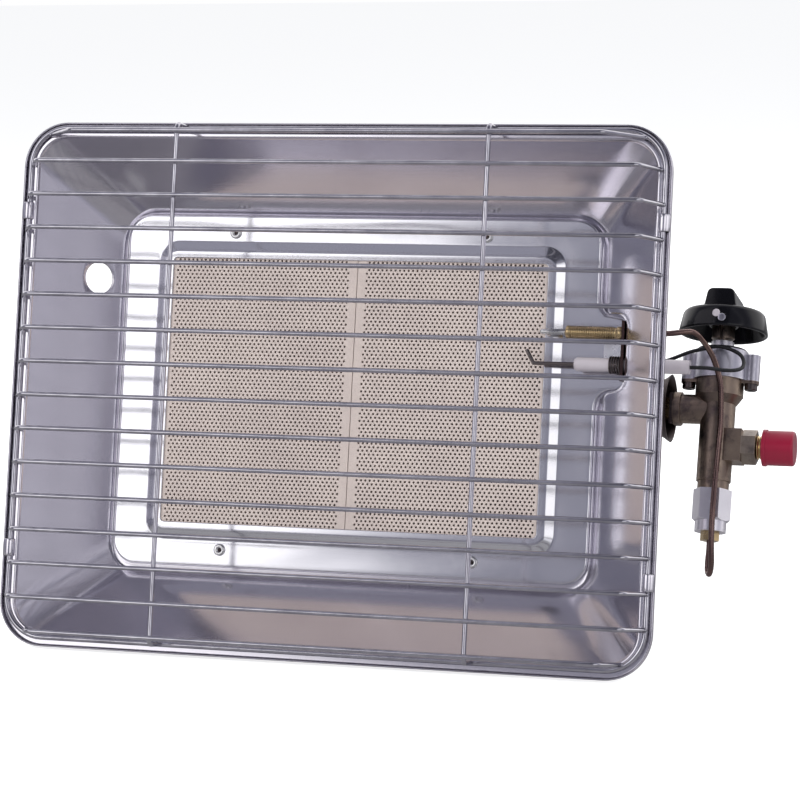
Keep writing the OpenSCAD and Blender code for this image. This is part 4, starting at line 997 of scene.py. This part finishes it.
world = bpy.data.worlds.new("world")
bpy.context.scene.world = world
world.use_nodes = True
make = node_maker(world.node_tree)


def rise(value, low, high):
    """0 below low, 1 above high, smooth between."""
    return make("ShaderNodeMapRange", value, low, high, 0.0, 1.0,
                interpolation_type="SMOOTHSTEP", clamp=True).outputs["Result"]


def times(a, b):
    return make("ShaderNodeMath", a, b, operation="MULTIPLY").outputs[0]


def plus(a, b):
    return make("ShaderNodeMath", a, b, operation="ADD").outputs[0]


def one_less(a):
    return make("ShaderNodeMath", 1.0, a, operation="SUBTRACT").outputs[0]


# What mirrors see: a dim room with a soft light box in front at each side, a pale far right
# and a bright rear. The front fades upwards and partly downwards.
sky = make("ShaderNodeSeparateXYZ", make("ShaderNodeTexCoord").outputs["Generated"])
dx, dy, dz = sky.outputs
west = times(dx, -1.0)
front = rise(times(dy, -1.0), 0.1, 0.35)
left_box = times(rise(plus(west, times(dz, 0.22)), 0.33, 0.385), one_less(rise(west, 0.70, 0.86)))
right_box = times(rise(dx, 0.30, 0.38), one_less(rise(dx, 0.78, 0.9)))
level = plus(0.33, times(front, plus(times(left_box, 1.4), right_box)))
level = plus(level, times(rise(dx, 0.88, 0.96), 0.28))
level = plus(level, times(rise(dy, 0.0, 0.4), 0.9))
fading = times(one_less(times(rise(dz, 0.42, 0.62), 0.8)), plus(0.55, times(rise(dz, -0.1, 0.38), 0.45)))
level = times(level, one_less(times(front, one_less(fading))))
tint = make("ShaderNodeMix", data_type="RGBA")
world.node_tree.links.new(level, tint.inputs["Factor"])
tint.inputs[6].default_value = (0.80, 0.80, 1.05, 1)
tint.inputs[7].default_value = (1.0, 0.985, 1.0, 1)
# The camera sees white, mirrors see the room, the rest a soft even light.
ray = make("ShaderNodeLightPath").outputs
direct = make("ShaderNodeMath", ray["Is Camera Ray"], ray["Is Transmission Ray"], operation="MAXIMUM")
soft = make("ShaderNodeBackground", (0.93, 0.95, 1.0, 1), 0.42)
mirror = make("ShaderNodeBackground", tint.outputs[2], level)
white = make("ShaderNodeBackground", (1, 1, 1, 1), 1.0)
inner = make("ShaderNodeMixShader", ray["Is Glossy Ray"], soft.outputs[0], mirror.outputs[0])
outer = make("ShaderNodeMixShader", direct.outputs[0], inner.outputs[0], white.outputs[0])
make("ShaderNodeOutputWorld", outer.outputs[0])


def lamp(name, at, target, size, power, colour=(1, 1, 1)):
    data = bpy.data.lights.new(name, "AREA")
    data.shape = "RECTANGLE"
    data.size, data.size_y = size
    data.energy = power
    data.color = colour
    obj = bpy.data.objects.new(name, data)
    obj.location = at
    obj.rotation_mode = "QUATERNION"
    obj.rotation_quaternion = (Vector(target) - Vector(at)).to_track_quat("-Z", "Y")
    obj.visible_glossy = False  # mirrors see the world's boxes instead
    bpy.context.scene.collection.objects.link(obj)


MIDDLE = (0, -0.02, 0.14)
lamp("key", (-0.9, -1.3, 1.3), MIDDLE, (1.1, 0.9), 22)
lamp("fill", (1.3, -1.1, 0.7), MIDDLE, (0.9, 1.1), 9, (0.95, 0.97, 1.0))
lamp("top", (0.1, 0.1, 1.7), MIDDLE, (1.4, 1.2), 12)
lamp("rear", (0.2, 1.5, 0.9), MIDDLE, (1.4, 0.8), 8)

bpy.context.scene.view_settings.view_transform = "Standard"
